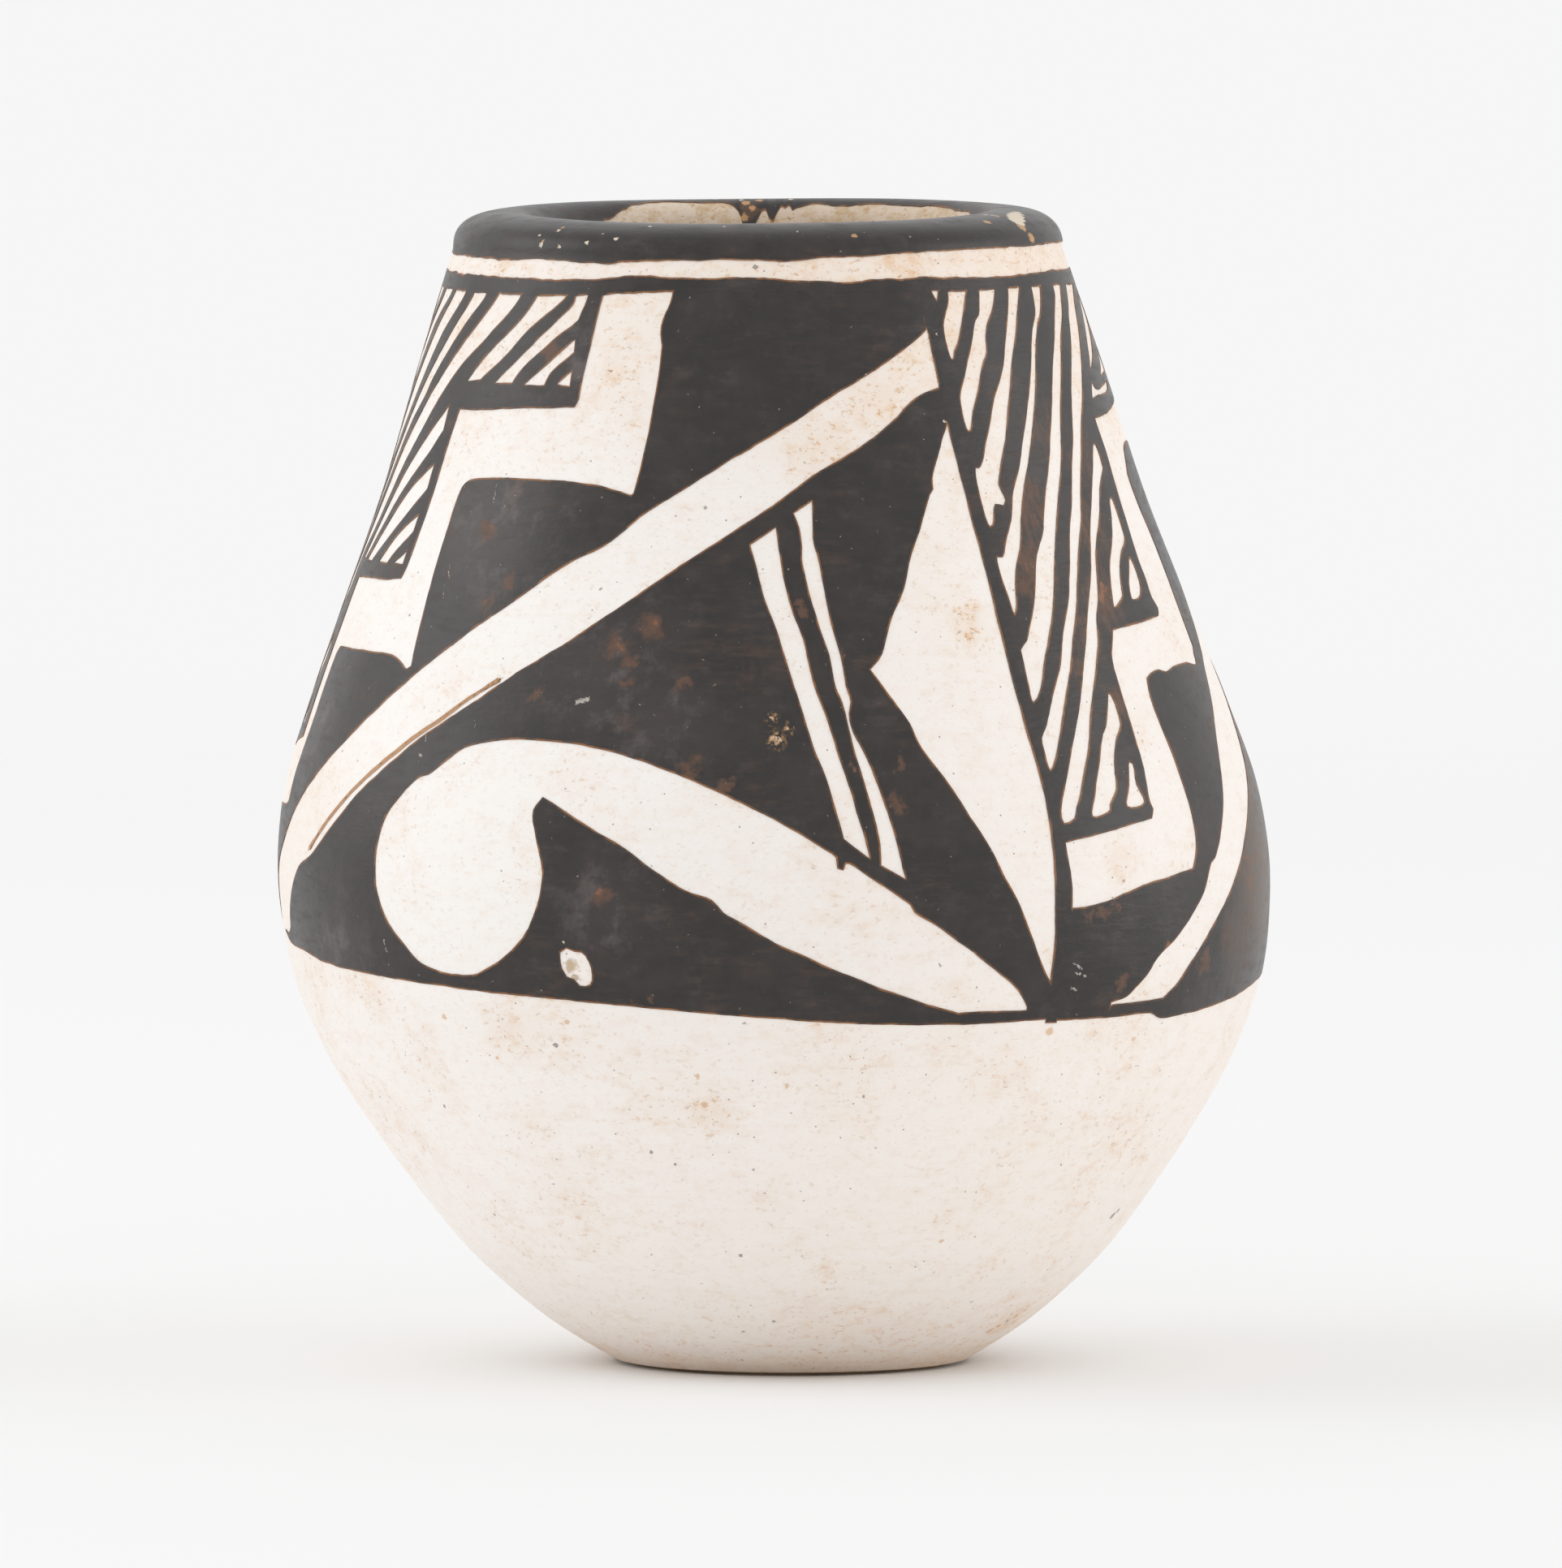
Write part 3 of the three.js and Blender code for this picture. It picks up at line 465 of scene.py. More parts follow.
def makePaint():
    f = Finish("black paint")
    place = f.place()
    crooked = bent(f, place, 0.15)
    clouds = f.between(f.noise(place, 3.5, 5, 0.65), 0.4, 0.68)
    patches = f.between(f.noise(place, 2.4, 4, 0.7), 0.48, 0.7)
    brushed = f.between(f.noise(f.place((0.4, 0.4, 1.6)), 0.9, 4, 0.6), 0.42, 0.72)
    fine = f.noise(place, 0.4, 4, 0.6)
    wandering = bent(f, place, 0.9)
    # painted sheen: greyer patches on the left side of the black
    paintedSheen = spots(f, wandering, paintLook["sheenSpots"], 0)
    colour = f.mix(clouds * 0.45 + brushed * 0.25 + fine * 0.2, paintLook["black"], paintLook["soft"])
    # random grey patches of the paint itself, and the painted sheen on the left
    greyAndSheen = patches * (0.06 + brushed * 0.14) + paintedSheen * (0.15 + patches * 0.45)
    colour = f.mix(greyAndSheen, colour, paintLook["grey"])
    upright = f.between(f.noise(f.place((2.2, 2.2, 0.25)), 1, 3), 0.35, 0.7)
    worn = f.attribute("thin") * (0.65 + upright * 0.7)
    worn = worn + spots(f, wandering, paintLook["thinSpots"], 0) * 0.9
    thin = f.between(worn + (fine - 0.5) * 0.6, 0.2, 0.9)
    faint = f.between(f.noise(place, 5, 3), 0.5, 0.72) * brushed
    colour = f.mix(thin * 0.8 + faint * 0.35, colour, paintLook["brown"])
    bright = f.between(thin * (0.4 + patches * 0.7), 0.6, 1.05) + flecks(f, place, 0.5, 0.7) * 0.3
    colour = f.mix(bright * 0.6, colour, paintLook["orange"])
    uneven = f.between(f.noise(place, 1.8, 3), 0.38, 0.6)
    fringe = f.between(f.attribute("fringe") + (fine - 0.5) * 0.7, 0.2, 0.65)
    colour = f.mix(fringe * (0.2 + uneven * 0.75), colour, paintLook["edge"])
    colour = f.mix(f.attribute("wash") * (0.4 + brushed * 0.7), colour, paintLook["wash"])
    rubbed = f.between(f.noise(place, 0.32, 5, 0.7), 0.46, 0.6)
    rubbed = spots(f, bent(f, place, 0.4), paintLook["rubbed"], 0) * rubbed
    rusty = spots(f, crooked, paintLook["rustSpots"]) * (0.5 + fine * 0.5)
    colour = f.mix(rusty + rubbed * 1.2, colour, slipLook["rust"])
    bare = spots(f, crooked, paintLook["bareSpots"], 0.75) + f.between(rubbed, 0.4, 0.9) * 0.7
    colour = f.mix(bare * 0.9, colour, paintLook["bare"])
    dust = specks(f, crooked, 0.8, 0.06, 0.4) + specks(f, crooked, 2.6, 0.1, 0.35)
    lines = scratches(f, crooked, paintLook["scratches"])
    colour = f.mix(dust * 0.6 + lines * 0.7, colour, paintLook["dust"])
    rough = 0.36 + brushed * 0.1 + fringe * 0.1 + thin * 0.1 + bare * 0.3
    relief = f.bump(fine * 0.8 + brushed * 0.8 - dust - lines - (bare + rusty) * 2, 0.015)
    return f.done(Base_Color=colour, Roughness=rough, Specular_IOR_Level=0.5, Normal=relief)


# Bare clay, inside the jar and under its foot
clayLook = {"buff": tone(203, 176, 144), "umber": tone(150, 120, 92), "grit": tone(92, 76, 62)}


def makeClay():
    f = Finish("fired clay")
    place = f.place()
    clouds = f.between(f.noise(place, 5, 4), 0.35, 0.7)
    wiped = f.noise(f.place((0.3, 0.3, 2.4)), 1.4, 4)
    colour = f.mix(clouds * 0.4 + wiped * 0.3, clayLook["buff"], clayLook["umber"])
    grit = specks(f, place, 0.8, 0.16, 0.35)
    colour = f.mix(grit * 0.7, colour, clayLook["grit"])
    grain = f.noise(place, 0.35, 4, 0.6)
    relief = f.bump(grain + wiped - grit, 0.04)
    return f.done(Base_Color=colour, Roughness=0.78 + grain * 0.2, Normal=relief)


slip = makeSlip()
paint = makePaint()
clay = makeClay()
print("materials made")


# Turned pieces: a closed loop of radius and height, spun round and made uneven by hand
def turned(loop, steps):
    bm = bmesh.new()
    corners = [bm.verts.new((radius, 0, height)) for radius, height in loop]
    edges = [bm.edges.new(pair) for pair in zip(corners, corners[1:])]
    if loop[0][0] > 0:
        edges.append(bm.edges.new((corners[-1], corners[0])))
    around = {"cent": (0, 0, 0), "axis": (0, 0, 1), "angle": 2 * math.pi}
    bmesh.ops.spin(bm, geom=corners + edges, steps=steps, use_merge=True, **around)
    bmesh.ops.remove_doubles(bm, verts=bm.verts[:], dist=tiny)
    bmesh.ops.recalc_face_normals(bm, faces=bm.faces[:])
    for corner in bm.verts:
        corner.co = handmade(corner.co) * mm
    return bm


coils = {
    "count": 6,
    "underSlip": 0.26,  # the clay's face lies this far under the slip's
    "fingerRidge": 0.16,
    "rows": 8,
    "steps": 128,
}
insideLine = smoothLine(jar["inside"], jar["spacing"])


def jointHeights(node):
    low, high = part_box(node)
    return low.z / mm, high.z / mm


def insideRadius(height):
    return valueAt([(p.x, p.y) for p in insideLine], height)


def makeCoils():
    for number in range(1, coils["count"] + 1):
        node = f"wall_coil_{number}"
        low, high = jointHeights(node)
        outside = []
        inside = []
        for i in range(coils["rows"] + 1):
            share = i / coils["rows"]
            height = low + (high - low) * share
            ridge = coils["fingerRidge"] * math.sin(math.pi * share)
            outside.append((profilePoint(height, -coils["underSlip"]).x, height))
            inside.append((insideRadius(height) - ridge, height))
        loop = outside + inside[::-1]
        addPiece(f"coil_{number}", turned(loop, coils["steps"]), clay, "clay", node)


dish = {"rows": 12, "footInset": 0.4, "footHeight": 0.3}  # the edge of the foot is taken off


def makeDish():
    high = jointHeights("base_dish")[1]
    rows = dish["rows"]
    heights = [high * i / rows for i in range(rows + 1)]
    outside = [(profilePoint(height, -coils["underSlip"]).x, height) for height in heights]
    footRadius = outside[0][0]
    reach, depth = insideRadius(high), high - jar["floorHeight"]
    turns = [math.pi / 2 * i / rows for i in range(rows)]
    hollow = [(reach * math.cos(turn), high - depth * math.sin(turn)) for turn in turns]
    loop = [(0, 0), (footRadius - dish["footInset"], 0), (footRadius, dish["footHeight"])]
    loop += outside[1:] + hollow + [(0, jar["floorHeight"])]
    addPiece("dish", turned(loop, coils["steps"]), clay, "clay", "base_dish")


def makeRimCoil():
    low = jointHeights("rim_coil")[0]
    pastCrest = [i for i in range(len(profile)) if distances[i] > crestDistance]
    lipEnd = next(i for i in pastCrest if profile[i].y < low + jar["throatCoat"])
    places = [d for d in distances[:lipEnd] if d > low]
    outside = [profilePoint(d, -coils["underSlip"]) for d in [low] + places[::2]]
    loop = [(outside[0].x, low)] + [(p.x, p.y) for p in outside[1:]] + [(insideRadius(low), low)]
    addPiece("rim_roll", turned(loop, coils["steps"]), clay, "clay", "rim_coil")


makeDish()
makeCoils()
makeRimCoil()
print("clay pieces made")


slipCoat = {
    "start": 0.25,  # its height above the foot's underside
    "firstRow": 0.2,  # the least height of the first row of faces
    "thickness": 0.25,
    "throatStart": 60,  # the throat is above this height and within this radius
    "throatRadius": 15.9,
}


def makeSlipCoat():
    starts = [slipCoat["start"]]
    starts += [d for d in distances if d > slipCoat["start"] + slipCoat["firstRow"]]
    over = [profilePoint(d, 0) for d in starts]
    hidden = starts[::4] + starts[-1:]  # its inner side needs fewer rows
    under = [profilePoint(d, -slipCoat["thickness"]) for d in hidden]
    loop = [(p.x, p.y) for p in over + under[::-1]]
    bm = turned(loop, jar["steps"])
    throat = bm.verts.layers.float.new("throat")
    for corner in bm.verts:
        place = corner.co / mm
        radius = math.hypot(place.x + jar["neckOffset"], place.y)
        inThroat = place.z > slipCoat["throatStart"] and radius < slipCoat["throatRadius"]
        corner[throat] = 1 if inThroat else 0
    addPiece("slip_coat", bm, slip, "white_slip", "white_slip")


makeSlipCoat()
print("slip coat made")


# Paint is drawn flat, in degrees round the jar and millimetres along its profile, and laid on as a film.
# An outline is a list of runs: each is one smooth line from the end of the one before, with a corner at
# its own end. A single run is a smooth closed loop.
film = {
    "thickness": 0.03,
    "degreeWidth": 0.5,  # of the flat drawing, in millimetres
    "spacing": 0.4,
    "fringe": 0.18,  # width of the thin brown edge of a brush stroke
    "wobble": 0.05,
    "wobbleRadius": 28.6,  # where a degree is about as wide as in the flat drawing
    "wobbleSlow": 0.7,  # swings in a millimetre
    "wobbleFast": 2.3,
    "cell": (2, 1.25),  # degrees and millimetres between the cuts that let a film follow the jar's curve
    "fieldLift": 0.02,  # how far a film lies off the slip, more for what is painted later
    "hatchingLift": 0.024,
    "ringLift": 0.028,
    "seam": 0.0002,  # the two ends of a ring are joined over this gap
}
laidFields = []  # the flat drawings of the paint that later strokes go over


def wobble(angle, height):  # unsteadiness of the brush, the same for all pieces at one place
    turn = math.radians(angle)
    place = Vector((film["wobbleRadius"] * math.cos(turn), film["wobbleRadius"] * math.sin(turn), height))
    slow = noise.noise_vector(place * film["wobbleSlow"])
    fast = noise.noise_vector(place * film["wobbleFast"])
    return (slow + fast * 0.5).xy * film["wobble"]


def asDrawn(angle):
    return angle


def drawn(outline, change=asDrawn):  # the closed line of an outline, with its angles changed first
    width = film["degreeWidth"]
    runs = [[Vector((change(angle) * width, height)) for angle, height in run] for run in outline]
    if len(runs) == 1:
        line = smoothLine(runs[0], film["spacing"], closed=True)
    else:
        line = []
        last = runs[-1][-1]
        for run in runs:
            line += smoothLine([last] + run, film["spacing"])[:-1]
            last = run[-1]
    return [p + wobble(p.x / width, p.y) for p in line]


def strength(marks, angle, height, radius):  # of the strongest soft mark at a place, 0 to 1
    most = 0
    for markAngle, markHeight, size, amount in marks:
        away = math.hypot(math.radians(angle - markAngle) * radius, height - markHeight) / size
        if away < 1:
            most = max(most, amount * (1 - away ** 2))
    return most


def layOn(bm, lift, marks, isRing=False):  # thickens a flat drawing and lays it on the jar
    thin = bm.verts.layers.float.new("thin")
    wash = bm.verts.layers.float.new("wash")
    up = bmesh.ops.extrude_face_region(bm, geom=bm.faces[:])
    raised = [part for part in up["geom"] if isinstance(part, bmesh.types.BMVert)]
    bmesh.ops.translate(bm, verts=raised, vec=(0, 0, film["thickness"]))
    halfWay = 180 * film["degreeWidth"]
    seam = [corner for corner in bm.verts if isRing and abs(abs(corner.co.x) - halfWay) < tiny]
    ends = set(seam)
    walls = [face for face in bm.faces if ends.issuperset(face.verts)]
    bmesh.ops.delete(bm, geom=walls, context="FACES")  # where the two ends of a ring meet
    for corner in bm.verts:
        angle, distance = corner.co.x / film["degreeWidth"], corner.co.y
        radius = profilePoint(distance, 0).x
        corner[thin] = strength(marks["thin"], angle, distance, radius)
        corner[wash] = strength(marks["wash"], angle, distance, radius)
        corner.co = onJar(angle, distance, lift + corner.co.z)
    bmesh.ops.remove_doubles(bm, verts=seam, dist=film["seam"] * mm)
    bmesh.ops.recalc_face_normals(bm, faces=bm.faces[:])


def overPaint(x, y):  # whether paint is already laid at a place of the flat drawing
    wholeTurn = 360 * film["degreeWidth"]
    down = Vector((0, 0, -1))
    above = [Vector((x + turn * wholeTurn, y, 1)) for turn in (-1, 0, 1)]
    return any(drawing.ray_cast(place, down)[0] for drawing in laidFields for place in above)


def painted(name, node, outlines, lift, marks):  # a filled outline, less the closed lines inside it
    bm = bmesh.new()
    for line in outlines:
        corners = [bm.verts.new((p.x, p.y, 0)) for p in line]
        for pair in zip(corners, corners[1:] + corners[:1]):
            bm.edges.new(pair)
    fill = {"use_beauty": True, "use_dissolve": False, "normal": (0, 0, 1)}
    bmesh.ops.triangle_fill(bm, edges=bm.edges[:], **fill)
    bm.normal_update()
    bmesh.ops.reverse_faces(bm, faces=[face for face in bm.faces if face.normal.z < 0])
    drawing = BVHTree.FromBMesh(bm)
    inset = {"thickness": film["fringe"], "use_boundary": True, "use_even_offset": False}
    bmesh.ops.inset_region(bm, faces=bm.faces[:], **inset)
    fringe = bm.verts.layers.float.new("fringe")
    for corner in bm.verts:
        corner[fringe] = 1 if corner.is_boundary and not overPaint(corner.co.x, corner.co.y) else 0
    laidFields.append(drawing)
    across, along = film["cell"][0] * film["degreeWidth"], film["cell"][1]
    left, right = min(v.co.x for v in bm.verts), max(v.co.x for v in bm.verts)
    low, high = min(v.co.y for v in bm.verts), max(v.co.y for v in bm.verts)
    columns = range(math.ceil(left / across), math.ceil(right / across))
    rows = range(math.ceil(low / along), math.ceil(high / along))
    cuts = [((i * across, 0, 0), (1, 0, 0)) for i in columns]
    cuts += [((0, i * along, 0), (0, 1, 0)) for i in rows]
    for point, direction in cuts:
        parts = bm.verts[:] + bm.edges[:] + bm.faces[:]
        bmesh.ops.bisect_plane(bm, geom=parts, dist=tiny, plane_co=point, plane_no=direction)
    layOn(bm, lift, marks)
    addPiece(name, bm, paint, "black_paint", node)


plainMarks = {"thin": [], "wash": []}

# Border line between two panels: its left and its right edge, as an offset from the border's angle
borderLeft = [
    (-1.3, 24.15), (-1.2, 26.5), (-0.9, 29), (-0.75, 34), (-0.9, 39), (-1.45, 43), (-1.9, 48), (-2.1, 53),
    (-2.5, 56), (-3.05, 60), (-3.5, 62), (-3.9, 64.8), (-4.2, 68.2), (-4.3, 71.4),
]
borderRight = [
    (0.3, 24.15), (1, 25.5), (1.6, 32), (1.4, 36), (1.1, 38), (0.6, 40.6), (0.4, 42.4), (0.6, 45),
    (0.6, 48),
]
borders = {"front": -104, "right": 34.5, "back": 145.25}


def hatchingOutline(border, steps):  # steps: the runs from the top right corner back to the border
    left = [(border + offset, height) for offset, height in borderLeft]
    lastHeight = steps[-1][-1][1]
    right = [(border + offset, height) for offset, height in borderRight if height < lastHeight]
    return [left[1:]] + steps + [right[::-1], [left[0]]]


# Front panel
frontHatchingSteps = [
    [(-28.6, 71.4)],
    [(-29.1, 70.4), (-30.1, 67.5), (-30.9, 65), (-31, 64), (-31.6, 63.5)],
    [(-44, 63.3), (-52, 63.1), (-57.8, 63.1)],
    [(-59, 60.5), (-60.2, 56), (-61.3, 52.7), (-61.8, 52.1)],
    [(-66, 51.95), (-74, 51.9), (-79.9, 51.8)],
    [(-80.4, 49), (-81, 44), (-81.3, 41.4)],
    [(-88, 40.8), (-96, 40.2), (-103.2, 39.8)],
]
frontGaps = [  # white between the hatching strokes, from the right
    [[(-33.1, 65.8)], [(-35.7, 64.95)], [(-33.1, 64.85)]],
    [[(-37.5, 65.6), (-38.3, 64.85)], [(-42.7, 64.85)], [(-37.5, 66.5), (-33.4, 67.85)], [(-33.3, 67)]],
    [
        [(-32, 71.15)],
        [(-32.2, 70.4), (-33, 69.6), (-33.4, 69.1)],
        [(-34.3, 68.8), (-37, 68.1), (-41, 66.8), (-44.5, 65.6), (-45.5, 64.95)],
        [(-49.8, 64.9)],
        [(-46, 66.2), (-38, 69), (-34.8, 70.2), (-34.6, 71.15)],
    ],
    [
        [(-36.4, 71.15)],
        [(-36.6, 70.7), (-44, 68.4), (-48, 66.8), (-53.7, 65.1)],
        [(-57.6, 64.9)],
        [(-54, 66.5), (-46.5, 69), (-43.5, 70.6), (-43.2, 71.15)],
    ],
    [
        [(-47.8, 71.15)],
        [
            (-48, 70.4), (-54, 68), (-61, 65.8), (-66, 63.6), (-70, 61.5), (-75, 58.9), (-80, 55.2),
            (-83.4, 52.9), (-84, 51.3), (-88, 48.6), (-93, 45.6),
        ],
        [
            (-88.2, 50.4), (-79, 59.2), (-73, 62.4), (-67, 65.2), (-62, 67.3), (-54.3, 70.5),
            (-54.2, 71.15),
        ],
    ],
    [
        [(-58.1, 71.15)],
        [
            (-58.3, 70.5), (-64, 68.2), (-71.5, 64.6), (-72.2, 64), (-77, 61.8), (-82, 58.3), (-90, 51.6),
            (-99, 43.5),
        ],
        [(-85, 57.8), (-79, 62.2), (-73, 65.6), (-67, 68.5), (-63, 70.4), (-62.8, 71.15)],
    ],
    [
        [(-66.3, 71.15)],
        [(-66.5, 70.5), (-73, 67.6), (-79.5, 63.3), (-86, 59), (-95, 51.5), (-102.8, 44.2)],
        [(-102.8, 47.6)],
        [(-91, 58.2), (-83, 64.5), (-77, 68.2), (-72, 70.5), (-71.8, 71.15)],
    ],
    [
        [(-73.8, 71.15)],
        [(-74, 70.5), (-80, 68.4), (-84, 65.6), (-92, 60.6), (-103, 50.2)],
        [(-103.4, 52.4)],
        [(-95, 61), (-86, 67.6), (-80, 70.2), (-78.8, 71.15)],
    ],
    [
        [(-82.2, 71.15)],
        [(-82.4, 70.6), (-88, 67.4), (-96, 62.2), (-103.5, 56.2)],
        [(-103.8, 59)],
        [(-98, 63.6), (-88.5, 69.8), (-87, 71.15)],
    ],
    [
        [(-90.5, 71.15)],
        [(-91, 70.6), (-98, 66.2), (-104.2, 62)],
        [(-104.6, 64.8)],
        [(-99.5, 68.4), (-96.3, 71.15)],
    ],
    [[(-99.8, 71.15)], [(-100.5, 70.4), (-104.9, 67.6)], [(-105.2, 69.8)], [(-102.8, 71.15)]],
    [
        [(-61.4, 61.7)],
        [(-64, 60.4), (-72, 57.2), (-79.3, 53.1)],
        [(-80.9, 53)],
        [(-79, 54.6), (-73, 58.5), (-66, 61.5), (-61.4, 63.3)],
    ],
    [[(-61.9, 57.9)], [(-67, 56), (-75.2, 53)], [(-78, 53)], [(-69, 57.4), (-61.7, 59.5)]],
    [[(-62.4, 55.1)], [(-66.5, 53.7), (-68.1, 53)], [(-71.6, 53)], [(-67, 55), (-62.2, 56.2)]],
    [[(-62.6, 53.05)], [(-65.6, 53.05)], [(-62.5, 53.9)]],
    [[(-83.9, 46.3)], [(-91.6, 41.3)], [(-95.4, 41.4)], [(-83.9, 48.6)]],
    [[(-84.1, 42.2)], [(-87.6, 41.9)], [(-84, 44.2)]],
]
topStep = [
    [
        (-15.6, 70.95), (-16, 70.2), (-17, 69.2), (-17.3, 68.3), (-16.9, 67.5), (-18.2, 62),
        (-19.2, 59.5), (-19.9, 58.1),
    ],
]
frontSteps = [
    [(-15.6, 71.4)],
] + topStep + [
    [(-20.3, 58), (-22, 58.2), (-26, 58.6), (-31, 58.8), (-46, 58.85), (-51, 58.6), (-52.3, 58.2)],
    [(-52.8, 57.5), (-53.5, 54), (-53.6, 51), (-53.4, 48), (-53.1, 46.7)],
    [(-53.9, 46.5), (-56, 47), (-58.3, 47.3), (-66, 47.4), (-76, 47.4)],
    [(-76.9, 47), (-77.8, 42), (-78.8, 39), (-79.6, 37.3)],
    [(-80.3, 37.1), (-90, 36.8), (-98, 36.4), (-104.3, 36)],
    [(-104.6, 30), (-104.4, 24.8)],
    [
        (-97, 25), (-94.5, 26.6), (-91, 29.2), (-88, 31.2), (-84, 33.2), (-80, 34.7), (-75, 37),
        (-68, 39.9), (-60, 43.1), (-52, 46.1), (-44, 48.8), (-36, 51.3), (-28, 53.8), (-24.5, 54.5),
        (-20, 56), (-18.5, 56.6), (-12, 58.4), (-4, 60.5), (4, 62.4), (12, 64.4), (20, 66.1),
        (28, 67.9), (30.2, 68.5),
    ],
    [(31.5, 69.5), (32, 71.4)],
]
leafEdge = [
    [(34, 26.3)],
    [
        (32.1, 28), (30.5, 30), (28.95, 32), (27.05, 34), (25.3, 36), (23.2, 38), (21.1, 40), (18.7, 42),
        (17.1, 44), (14.6, 46), (13.3, 47),
    ],
    [(15.1, 48), (16.8, 50), (19.3, 52), (21.1, 54), (23.4, 56), (25.8, 58)],
    [(26.5, 58.3), (26.7, 59), (28.95, 61), (30.9, 62.5)],
    [(31.5, 63.5), (31.5, 64.9)],
]
frontScroll = [
    [
        (30.6, 64.8), (26, 64.2), (20, 62.3), (12, 60.3), (8, 59.4), (2, 57.6), (-4, 55.9), (-12, 53.6),
        (-20, 51), (-28, 48.4), (-34, 46.6), (-40, 44.6), (-48, 42.1), (-56, 39), (-63, 36),
        (-68, 34.1), (-72, 33.2), (-76, 31.2), (-77.5, 30), (-78.3, 29),
    ],
    [(-80, 28.6), (-83, 28.7)],
    [
        (-80, 28.05), (-72, 27.6), (-66, 27.15), (-52, 26.65), (-36, 26.15), (-24, 25.8), (-8, 25.15),
        (0, 24.85), (8, 24.5), (20, 24.3), (34.2, 24.4),
    ],
] + leafEdge
frontComma = [
    [
        (-28.7, 38), (-28.2, 36.3), (-27.3, 34.5), (-27.3, 33.5), (-28.3, 31.5), (-30.2, 29.8),
        (-33.5, 28.3), (-37.5, 27.25), (-40, 27.2), (-43, 27.4), (-46, 28), (-48.5, 29.2), (-50, 30),
        (-51.3, 31), (-52.2, 32.2), (-52.5, 33.5), (-52.4, 35), (-51.3, 37), (-49, 38.5), (-46.5, 39.7),
        (-45, 39.9), (-42, 41), (-40, 41.7), (-36, 42.2), (-30, 42.4), (-24, 42.2), (-18, 41.6),
        (-12, 40.6), (-6, 39.3), (0, 37.7), (6, 35.7), (7.2, 35.2), (7.3, 34.5), (8, 34.35),
        (8.3, 34.8), (12, 33.5), (15.5, 32.1), (16, 31.6), (18, 31), (22, 29.4), (26, 27.7), (29, 26.4),
        (30.4, 25.3),
    ],
    [(30.4, 25.1)],
    [(21.5, 25.1)],
    [
        (16.5, 25.9), (12, 26.8), (6, 28.2), (0, 29.8), (-4, 31.1), (-5.8, 31.7), (-7, 32.5), (-10, 33.1),
        (-14, 34.5), (-17, 35.7), (-21, 36.9), (-25, 38.1), (-27.6, 38.85),
    ],
]
leftStripe = [
    [
        (-0.9, 53), (0.2, 51), (1.7, 49), (3.3, 46), (4.4, 44), (5.45, 42), (6.6, 40), (7.6, 38),
        (8.2, 36.4),
    ],
    [(11.1, 35.15)],
    [
        (10.8, 36), (9.9, 38), (9.1, 40), (8.05, 42), (7.1, 44), (5.8, 46), (4.7, 49), (3.4, 51),
        (2.5, 53), (1.9, 55), (1.7, 56),
    ],
    [(-2, 54.9)],
]
rightStripe = [
    [
        (5.2, 56), (5.4, 55), (5.3, 54), (5.9, 52), (6.9, 50), (8.05, 48), (8.6, 46), (9.2, 45),
        (9.6, 44), (10.2, 42), (11.1, 40), (11.8, 38), (12.4, 36), (12.4, 34.7),
    ],
    [(15.1, 33.8)],
    [
        (14.3, 36), (13.5, 38), (12.5, 40), (11.9, 41), (11.2, 42), (10.3, 43), (9.9, 44.3), (10.3, 45),
        (9.9, 46), (9.5, 48), (8.6, 50), (8.05, 52), (7.5, 54), (7.05, 55), (7.1, 56), (7.2, 57.65),
    ],
    [(4.4, 56.9)],
]
chipHole = [[
    (-25.4, 28.9), (-24.6, 29.2), (-23.5, 29.0), (-22.7, 29.0), (-21.9, 28.4), (-21.6, 27.5),
    (-22.0, 26.9), (-23.2, 26.8), (-23.9, 27.2), (-24.8, 27.4), (-25.3, 27.9),
]]
washLine = [  # a thin brown stroke beside the scroll, where the brush went along it a second time
    [(-40, 45.2), (-44, 43.9), (-52, 41.3), (-60, 38.2), (-66, 35.7), (-69, 34.3)],
    [(-66, 35.45), (-60, 37.9), (-52, 40.95), (-44, 43.6), (-40, 44.95), (-36, 46.3)],
]
frontMarks = {
    "thin": [
        (-3, 47, 2.5, 0.3), (-46, 34, 2, 0.25), (11, 33, 1, 0.4), (24, 60, 2.4, 0.3),
        (8, 66, 3.4, 0.25), (-6, 69.6, 2, 0.3), (29.6, 68.9, 1, 0.5), (-60, 62, 1.2, 0.4),
        (-52, 56, 2, 0.3), (-38, 68, 2, 0.4),
    ],
    "wash": [],
}
allWash = {"thin": [], "wash": [(-52, 40, 40, 3)]}  # strong enough to colour the whole stroke
narrower = 0.8  # the back panel and the unseen part of the right panel against the front panel


def backPlace(angle):
    return borders["back"] + narrower * (angle - borders["front"])


def rightPlace(angle):  # the part of the right panel that is out of sight repeats the front's
    return borders["back"] - narrower * (borders["right"] - angle)


def changed(outline, change):
    return [[(change(angle), height) for angle, height in run] for run in outline]


